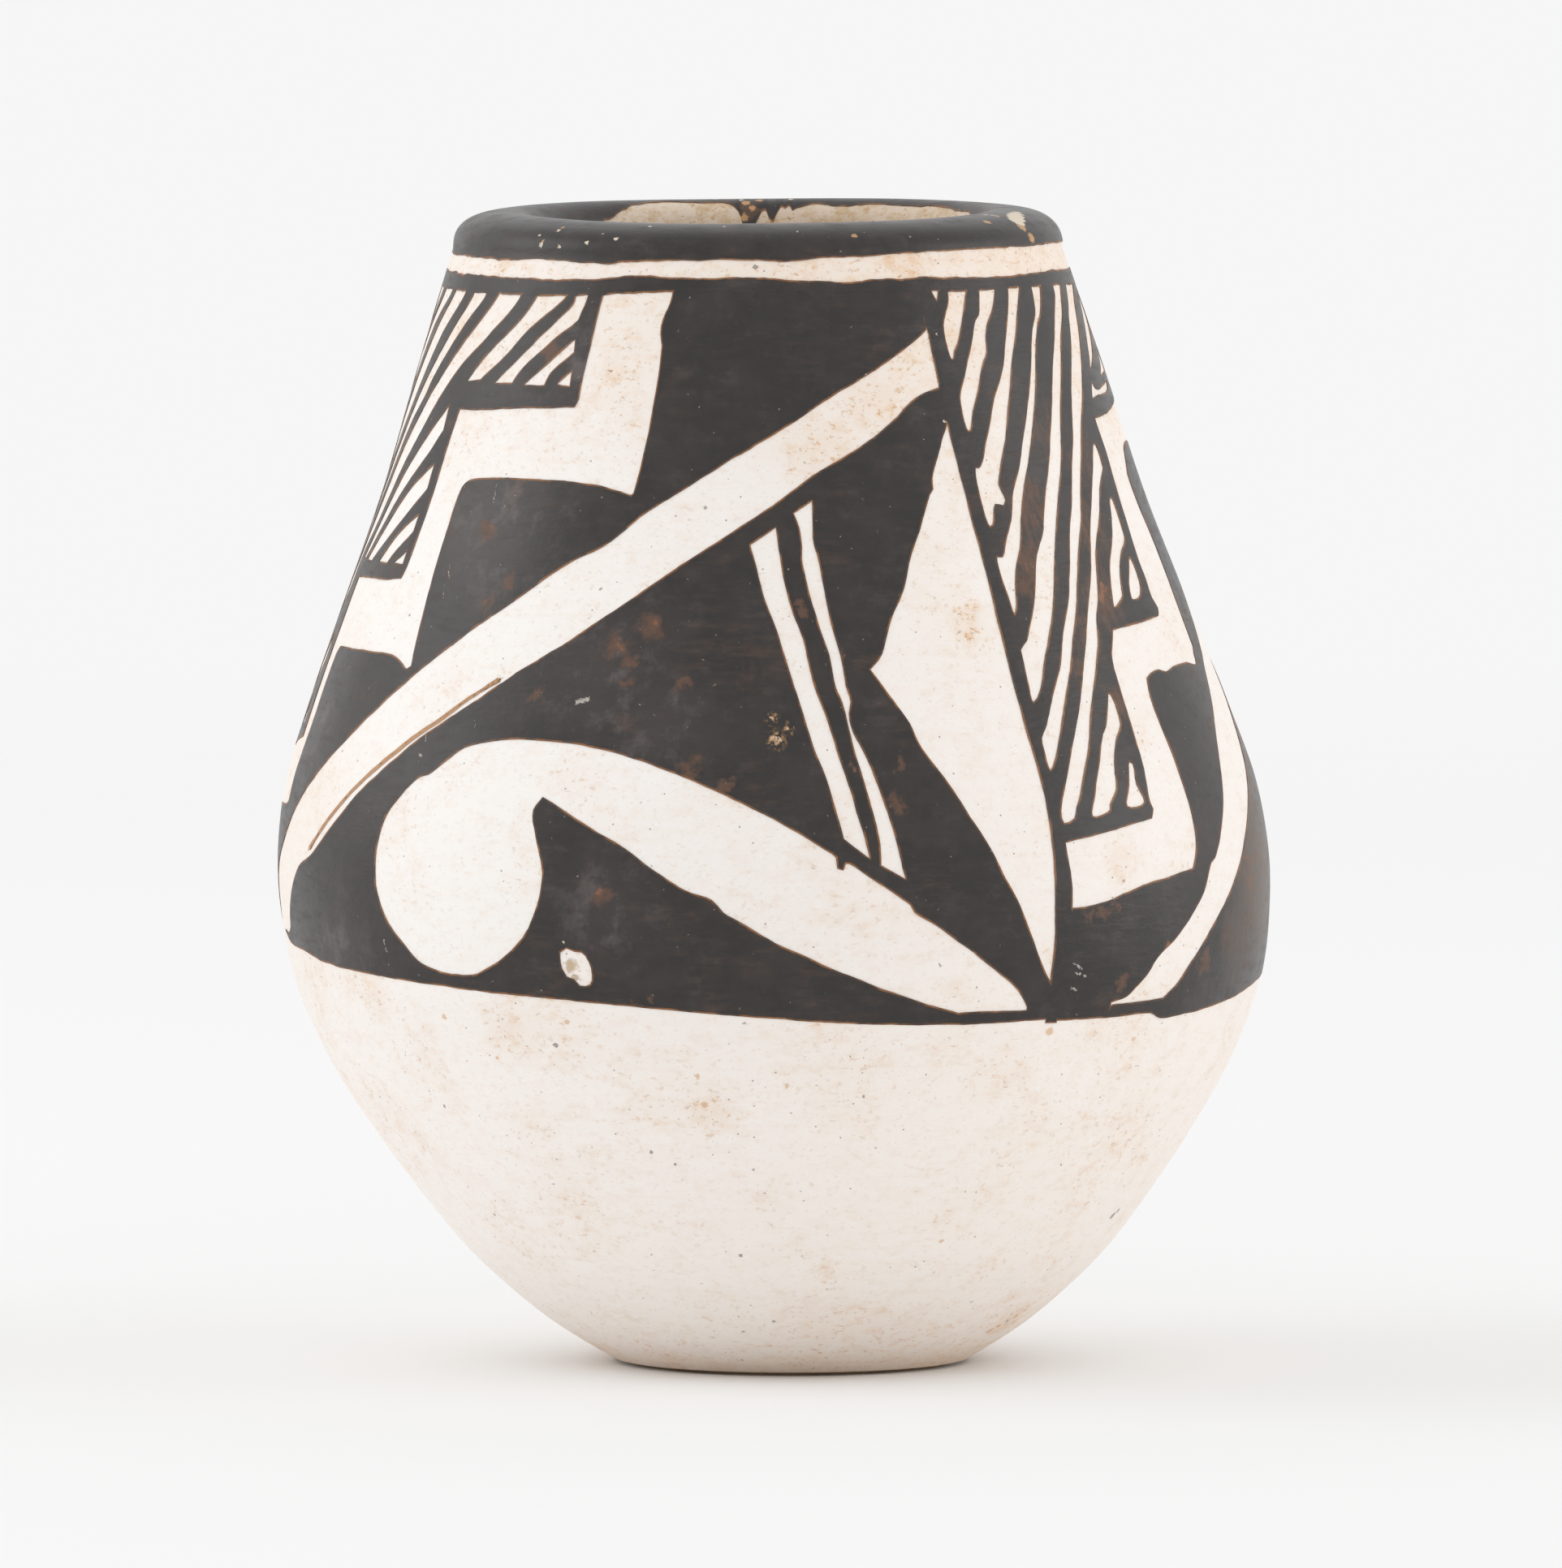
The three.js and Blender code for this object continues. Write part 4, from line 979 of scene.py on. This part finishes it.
for side, change in (("front", asDrawn), ("back", backPlace)):
    marks = frontMarks if side == "front" else plainMarks
    stepped = [drawn(frontSteps, change)]
    painted(side + "_steps", side + "_stepped_field", stepped, film["fieldLift"], marks)
    scroll = [drawn(outline, change) for outline in (frontScroll, frontComma, leftStripe, rightStripe)]
    if side == "front":
        scroll.append(drawn(chipHole))
        stroke = [drawn(washLine)]
        painted("front_brown_stroke", "front_scroll_field", stroke, film["hatchingLift"], allWash)
    painted(side + "_scroll", side + "_scroll_field", scroll, film["fieldLift"], marks)
    hatching = [drawn(hatchingOutline(borders[side], changed(frontHatchingSteps, change)))]
    hatching += [drawn(gap, change) for gap in frontGaps]
    painted(side + "_hatch_strokes", side + "_hatching", hatching, film["hatchingLift"], marks)
    print(side, "panel painted")


# Right panel
rightHatchingSteps = [
    [(94.8, 71.4)],
    [(93.2, 63.6)],
    [(82, 63), (73, 62.5), (68, 62.35)],
    [
        (68.5, 60), (68, 57.5), (67.4, 55.5), (66.7, 53), (66.8, 52), (66.4, 50.8), (67.2, 50.1),
        (66.3, 49.6),
    ],
    [(63, 49.4), (58, 49.2), (53, 48.95)],
    [(52, 48.1), (50.9, 47.2), (50.7, 45), (50.6, 41), (50.1, 38), (50.4, 37.6), (49.8, 37)],
    [(45, 36.6), (41, 36.25), (35.7, 35.8)],
]
rightGaps = [
    [[(34.4, 71.15)], [(33.4, 70.3)], [(32.3, 71.15)]],
    [
        [(40.7, 71.15)],
        [
            (38.9, 69.8), (38, 69), (35.8, 67.5), (34.9, 67.1), (34.4, 66.6), (34, 66.6), (33.75, 68.7),
            (34.9, 69.6), (35.8, 70.1), (36.4, 71.15),
        ],
    ],
    [
        [(48.1, 71.15)],
        [
            (46, 69.8), (43.8, 68.9), (42.5, 68), (41.9, 67), (40.2, 66.1), (38.2, 64.6), (36.2, 63.2),
            (35, 62.05), (34.5, 62), (34.3, 64.1), (36, 65.4), (38.2, 67), (39.6, 68), (41, 69),
            (42, 69.3), (43, 70.2), (43.9, 71.15),
        ],
    ],
    [
        [(55.2, 71.15)],
        [
            (53, 69.9), (50, 68), (47.2, 66.2), (45, 64.4), (43.2, 62.9), (42, 61.7), (40.5, 60.5),
            (39, 59.2), (38.3, 58.5), (38.9, 57.5), (38.3, 57.2), (36.8, 57.3), (35.5, 56),
            (34.9, 55.9), (34.6, 59.6), (35.3, 59.6), (36.2, 60), (37.6, 61.2), (39.6, 62.7),
            (41.3, 64), (43, 64.9), (45, 66.1), (47, 67.6), (48.9, 69), (50.8, 70.4), (51.6, 71.15),
        ],
    ],
    [
        [(62.4, 71.15)],
        [
            (59.9, 69.6), (57, 68.4), (54, 66.6), (51.6, 64.6), (49, 62.5), (46, 60.3), (43, 58.1),
            (41, 56.3), (39.6, 54.7), (37.5, 53), (36.5, 51.6), (36.2, 50.9), (35.5, 50.3),
            (35.2, 51.2), (34.9, 53.9), (35.9, 53.9), (37.2, 54.9), (39, 56.2), (40.8, 58), (43, 59.4),
            (46, 61.7), (49, 63.8), (51.5, 65.6), (53.3, 67), (55.3, 68.3), (57.4, 69.2), (58.7, 70.6),
            (58.8, 71.15),
        ],
    ],
    [
        [(72, 71.15)],
        [
            (68, 69.2), (64, 67.6), (60.8, 65.6), (58.6, 64.3), (55.6, 62), (53.5, 60), (50.3, 57.7),
            (48.2, 56.1), (45.8, 54), (43.8, 52), (41.8, 50), (41, 49.4), (39.3, 48), (38.1, 47),
            (37.2, 46), (35.9, 45), (35.1, 44.7), (35.15, 47.5), (35.1, 48.05), (36.5, 48.6),
            (37.8, 49.7), (39.8, 51.4), (41.2, 53), (42.3, 54), (44.5, 55.3), (46.8, 57.3),
            (49.8, 59.5), (52.3, 61.5), (55.2, 63.7), (58, 65.7), (61.5, 67.6), (65.3, 69.5),
            (67.5, 70.5), (67.8, 71.15),
        ],
    ],
    [
        [(84, 71.15)],
        [
            (78.6, 70), (74, 68), (69.9, 66), (66, 64), (62.1, 62), (59.2, 60), (56.3, 58), (53.9, 56),
            (50.8, 54), (47.4, 51), (45, 49), (42.8, 47), (40.4, 45), (38.3, 43), (36.2, 41),
            (35.3, 40.4), (35.1, 42.4), (36, 43), (38.3, 45), (41, 47), (43, 49), (45.7, 51),
            (47.9, 53), (50, 55), (52.7, 57), (55.2, 59), (58, 61), (60.3, 63), (63.3, 65), (67.2, 67),
            (71, 69), (73.5, 70), (75.8, 71.15),
        ],
    ],
    [[
        (64.4, 60.75), (65.2, 60.7), (65.4, 59.2), (65, 59.05), (62.2, 58), (58.8, 56), (55.1, 54),
        (54, 53), (52, 51), (50.3, 49.7), (49.2, 48.3), (47.6, 47), (44, 44), (42.2, 42), (40, 40),
        (38, 38), (37.4, 37.3), (35.8, 37.05), (35.6, 37.8), (36.5, 39), (38.5, 41), (40.7, 43),
        (43, 45), (45.2, 47), (47.5, 49), (50, 51), (52.7, 53), (55, 55), (58, 57), (61.4, 59),
        (63, 60),
    ]],
    [[
        (64.3, 57.2), (65, 57.2), (64.8, 54.7), (64, 54.35), (62.6, 54), (60.2, 53), (58.4, 51.5),
        (58.1, 51.1), (56.7, 50.7), (55, 50.4), (55.6, 51.2), (56.2, 52), (57.4, 53), (59.2, 54),
        (61, 54.9), (62.7, 56),
    ]],
    [[(63.9, 53.4), (64.3, 53.3), (64.3, 51.9), (63, 51), (60.2, 50.9), (61, 51.8), (62.8, 52.9)]],
    [[
        (48, 45), (48.4, 44.95), (48.6, 43), (47.3, 42.3), (45.8, 41), (45.1, 40), (44.6, 39),
        (43.1, 38.1), (43, 37.75), (40.1, 37.4), (41.3, 39), (43.2, 40.9), (44.9, 42.5), (45.7, 42.85),
        (47.5, 44.5),
    ]],
    [[(48.2, 40.65), (48.7, 40.5), (48.4, 39.2), (49.1, 38.1), (45.9, 37.9), (47, 39.2)]],
    [
        [(78, 66.3), (82, 67.3), (88, 68.8), (91.5, 69.8)],
        [(92, 71.15)],
        [(89.5, 71.15)],
        [(84, 69.6), (78, 67.5), (73.2, 65.4)],
    ],
    [
        [(71.2, 64.45), (71.9, 64.6), (72.7, 64.2), (79, 64.35), (84, 64.6)],
        [(82, 64.1), (72, 63.75), (69.5, 63.65)],
    ],
    [[(84, 65.9), (90.8, 68.2)], [(90.4, 65.2)], [(84, 65.1), (79.5, 65)]],
]
rightSteps = [
    [(rightPlace(-15.6), 71.4)],
] + changed(topStep, rightPlace) + [
    [(101.2, 58.5), (92, 60.2), (84, 60.6), (79.5, 60.2), (78, 59.5), (76, 58.6)],
    [(75.9, 57.9), (76.3, 56.5), (77.2, 54), (76.5, 50), (76, 47.4)],
    [
        (75, 47), (74.2, 46.35), (70, 46.5), (65, 46.35), (62.5, 46.1), (60.7, 46.3), (58.5, 46.1),
        (57.1, 45.8),
    ],
    [(56.5, 44.7), (56.6, 43.2), (57.2, 41), (57.5, 39), (58.1, 36.3), (57.7, 34.6), (56.7, 33.6)],
    [(53, 33.3), (47, 32.8), (41, 31.9), (36.6, 31.6), (35, 31.7)],
    [(34.7, 28), (34.4, 24.3)],
    [(42.6, 24.3)],
    [(42.8, 25.3)],
    [
        (45.2, 25.6), (46.2, 26), (48.4, 27), (50, 28), (52.8, 29), (55.2, 30), (57.2, 31), (59, 32),
        (61, 33.8), (62, 34.1), (64.8, 36), (67.1, 38), (69, 40), (71.6, 42), (75, 44), (78, 46),
        (80.4, 47), (90, 52.5), (98, 56.2), (111, 59.4), (124, 63.4), (141.9, 68.5),
    ],
    [(142.6, 69.5), (143, 71.4)],
]
rightScroll = [
    [
        (141.4, 64.8), (136, 63), (130, 61), (122, 58), (114, 54.8), (106, 51.6), (98, 48.2),
        (90, 44.4), (84, 41.3), (80, 39.1), (76, 37.1), (72, 35.1), (68.6, 33.3), (65.2, 31.6),
        (61.6, 29.9), (58.2, 28.2), (56, 27.2), (54, 26.1), (51.8, 25.3),
    ],
    [(43, 25.15)],
    [(42, 24.3)],
    [
        (50, 24.35), (52, 24), (57, 24.1), (64, 24.4), (70, 24.75), (80, 25.4), (86, 25.6), (96, 25.9),
        (106, 25.9), (118, 25.4), (128, 24.8), (138, 24.5), (145, 24.4),
    ],
] + changed(leafEdge, rightPlace)
rightComma = [
    [
        (98.6, 33.5), (97.8, 31), (95.4, 29), (92, 27.8), (88, 27.6), (83.5, 29), (80.8, 30.5),
        (78.9, 32), (77.9, 34), (78.5, 35.3), (80, 36.5), (83, 37.7), (86, 38.1), (90, 38.3),
        (96, 38.3), (104, 38), (112, 37.2), (120, 35), (128, 32.2), (136, 28.8), (142, 25.3),
    ],
    [(142, 25.1)],
    [(134.8, 25.1)],
    [(127, 26.8), (120.8, 28.7), (114.4, 31.1), (108, 33.2), (101.5, 35), (98.6, 35.6)],
]
rightMarks = {
    "thin": [
        (49.5, 44.5, 1.6, 0.8), (55.5, 55.5, 3, 0.7), (53, 51, 3, 0.8), (47, 49, 3, 0.6),
        (44.5, 46.5, 2, 0.6), (40, 53, 3.2, 0.9), (43, 57, 3, 0.7), (66.4, 60, 1.4, 0.5),
        (58, 47, 1.2, 0.4), (51, 62, 3.5, 0.5), (60, 60, 4, 0.5), (46, 40, 2, 0.4), (42, 66, 2, 0.2),
        (60, 38, 2, 0.3), (66, 41, 2, 0.3), (66, 29, 3, 0.45), (72, 33, 4, 0.5), (80, 40, 4, 0.4),
        (72, 48, 3, 0.4), (56, 27.5, 3, 0.3),
    ],
    "wash": [(78, 33, 7, 0.22), (80, 40, 6, 0.18), (70, 29, 4, 0.12), (72, 48, 3, 0.1)],
}


def commaPlace(angle):  # the comma is drawn wide, and stands further round
    return 89.5 + 0.82 * (angle - 78)


painted("right_steps", "right_stepped_field", [drawn(rightSteps)], film["fieldLift"], rightMarks)
scroll = [drawn(rightScroll), drawn(rightComma, commaPlace)]
scroll += [drawn(stripe, rightPlace) for stripe in (leftStripe, rightStripe)]
painted("right_scroll", "right_scroll_field", scroll, film["fieldLift"], rightMarks)
hatching = [drawn(hatchingOutline(borders["right"], rightHatchingSteps))]
hatching += [drawn(gap) for gap in rightGaps]
painted("right_hatch_strokes", "right_hatching", hatching, film["hatchingLift"], rightMarks)
print("right panel painted")


# Rim paint and collar line: closed rings between a lower and an upper edge
rings = {
    "columns": 360,
    "spacing": 1.5,  # degrees between the points of a smoothed edge
    "lowerWobble": (72, 1.5),  # the height at which the brush's wobble is read, and how much it counts
    "upperWobble": (80, 2),
}
rimPaintEdges = {
    "lower": [
        (-180, 72.95), (-150, 73), (-120, 72.8), (-100, 72.95), (-80, 72.85), (-60, 72.8), (-54, 72.75),
        (-44, 72.9), (-34, 72.75), (-28, 72.7), (-24, 72.85), (-8, 73), (0, 73), (4, 72.9), (14, 73.2),
        (20, 73.25), (28, 73.45), (44, 73.6), (80, 73.65), (110, 73.5), (140, 73.2), (180, 72.95),
    ],
    "upper": [
        (-180, 80.7), (-179, 81.2), (-178, 81.4), (-177, 81.3), (-176, 81.1), (-175, 80.2),
        (-174, 79.8), (-173, 79.5), (-170, 79.3), (-166, 79.4), (-158, 79.1), (-150, 79.3),
        (-144, 79.8), (-138, 80.5), (-130, 80.8), (-100, 80.9), (-60, 80.6), (0, 80.9), (50, 80.6),
        (92, 80.8), (102, 80.4), (111, 79.9), (118, 79.8), (128, 79.6), (140, 79.7), (150, 79.6),
        (158, 79.8), (166, 79.6), (169, 79.9), (171, 80.2), (172, 79.7), (173, 80), (174, 79.8),
        (175, 80.3), (176, 80.9), (177, 80.7), (178, 80.1), (179, 80.2), (180, 80.7),
    ],
    "rows": 28,
}
collarEdges = {
    "lower": [
        (-180, 70.75), (-150, 70.6), (-120, 70.8), (-86, 70.7), (-66, 70.6), (-44, 70.55), (-30, 70.7),
        (-20, 70.9), (-15, 70.95), (33, 70.9), (40, 70.85), (60, 71), (100, 70.8), (140, 70.9),
        (180, 70.75),
    ],
    "upper": [
        (-180, 71.8), (-150, 71.7), (-120, 71.9), (-86, 71.8), (-60, 71.7), (-40, 71.65), (-30, 71.75),
        (-22, 72), (-16, 71.85), (0, 71.9), (14, 71.6), (28, 71.8), (50, 71.75), (60, 71.85),
        (70, 71.95), (110, 71.8), (150, 71.9), (180, 71.8),
    ],
    "rows": 6,
}


def edgeHeight(line, angle, unsteady):
    height, times = unsteady
    return valueAt(line, angle) + wobble(angle, height).y * times


def ring(name, node, edges):
    rows = edges["rows"]
    lower = smoothLine(edges["lower"], rings["spacing"])
    upper = smoothLine(edges["upper"], rings["spacing"])
    bm = bmesh.new()
    bmesh.ops.create_grid(bm, x_segments=rings["columns"], y_segments=rows, size=0.5)
    fringe = bm.verts.layers.float.new("fringe")
    for corner in bm.verts:
        angle = corner.co.x * 360
        row = round((corner.co.y + 0.5) * rows)
        bottom = edgeHeight(lower, angle, rings["lowerWobble"])
        top = edgeHeight(upper, angle, rings["upperWobble"])
        reach = film["fringe"] + (row - 1) / (rows - 2) * (top - bottom - 2 * film["fringe"])
        distance = bottom if row == 0 else top if row == rows else bottom + reach
        atEdge = row in (0, rows) and not overPaint(angle * film["degreeWidth"], distance)
        corner[fringe] = 1 if atEdge else 0
        corner.co = (angle * film["degreeWidth"], distance, 0)
    layOn(bm, film["ringLift"], plainMarks, isRing=True)
    addPiece(name, bm, paint, "black_paint", node)


ring("rim_black", "rim_paint", rimPaintEdges)
ring("collar", "collar_line", collarEdges)
print("rim painted")


# Camera, lights and floor
view = {
    "target": (-0.69, 0, 37.97),  # millimetres
    "distance": 1200,
    "elevation": 3.5,
    "lens": 419.5,
}


def makeCamera():
    camera = bpy.data.cameras.new("camera")
    camera.lens = view["lens"]
    camera.sensor_width = 36
    stand = bpy.data.objects.new("camera", camera)
    bpy.context.scene.collection.objects.link(stand)
    tilt = math.radians(view["elevation"])
    target = Vector(view["target"]) * mm
    stand.location = target + Vector((0, -math.cos(tilt), math.sin(tilt))) * view["distance"] * mm
    stand.rotation_euler = (math.radians(90) - tilt, 0, 0)
    bpy.context.scene.camera = stand


lampTarget = (0, 0, 0.035)
lamps = {  # soft boxes, in metres and watts
    "left": {"place": (-0.92, 0.04, 0.44), "size": 0.7, "power": 2.05},
    "right": {"place": (0.98, -0.05, 0.2), "size": 0.7, "power": 2.1},
}


def makeLamps():
    for name, lamp in lamps.items():
        light = bpy.data.lights.new(name + " lamp", "AREA")
        light.shape = "SQUARE"
        light.size = lamp["size"]
        light.energy = lamp["power"]
        holder = bpy.data.objects.new(name + " lamp", light)
        bpy.context.scene.collection.objects.link(holder)
        holder.location = lamp["place"]
        aim = Vector(lampTarget) - Vector(lamp["place"])
        holder.rotation_euler = aim.to_track_quat("-Z", "Y").to_euler()


room = {
    "light": 0.94,
    "backdrop": tone(246, 246, 246),
    "floor": tone(243, 243, 243),
    "floorRadius": 0.9,  # metres
    "floorFade": (0.35, 0.95),  # shares of the radius between which the floor goes over into the backdrop
}


def makeWorld():
    world = bpy.data.worlds.new("room")
    world.use_nodes = True
    tree = world.node_tree
    tree.nodes.clear()
    seen = tree.nodes.new("ShaderNodeLightPath")
    plain = tree.nodes.new("ShaderNodeBackground")
    plain.inputs["Color"].default_value = (1, 1, 1, 1)
    plain.inputs["Strength"].default_value = room["light"]
    shown = tree.nodes.new("ShaderNodeBackground")
    shown.inputs["Color"].default_value = room["backdrop"]
    blend = tree.nodes.new("ShaderNodeMixShader")
    end = tree.nodes.new("ShaderNodeOutputWorld")
    tree.links.new(seen.outputs["Is Camera Ray"], blend.inputs[0])
    tree.links.new(plain.outputs[0], blend.inputs[1])
    tree.links.new(shown.outputs[0], blend.inputs[2])
    tree.links.new(blend.outputs[0], end.inputs["Surface"])
    bpy.context.scene.world = world


def makeFloor():
    f = Finish("paper floor")
    place = f.node("ShaderNodeTexCoord", output="Object")
    far = f.vector("DISTANCE", place, (0, 0, 0), "Value")
    fadeStart, fadeEnd = [share * room["floorRadius"] for share in room["floorFade"]]
    near = 1 - f.between(far, fadeStart, fadeEnd)
    f.done(Base_Color=room["floor"], Roughness=0.9, Specular_IOR_Level=0.0, Alpha=near)
    bm = bmesh.new()
    bmesh.ops.create_circle(bm, cap_ends=True, segments=96, radius=room["floorRadius"])
    mesh = bpy.data.meshes.new("floor")
    bm.to_mesh(mesh)
    bm.free()
    mesh.materials.append(f.material)
    floor = bpy.data.objects.new("floor", mesh)
    bpy.context.scene.collection.objects.link(floor)


makeCamera()
makeLamps()
makeWorld()
makeFloor()
bpy.context.scene.view_settings.view_transform = "Standard"
print("camera, lamps and floor made")
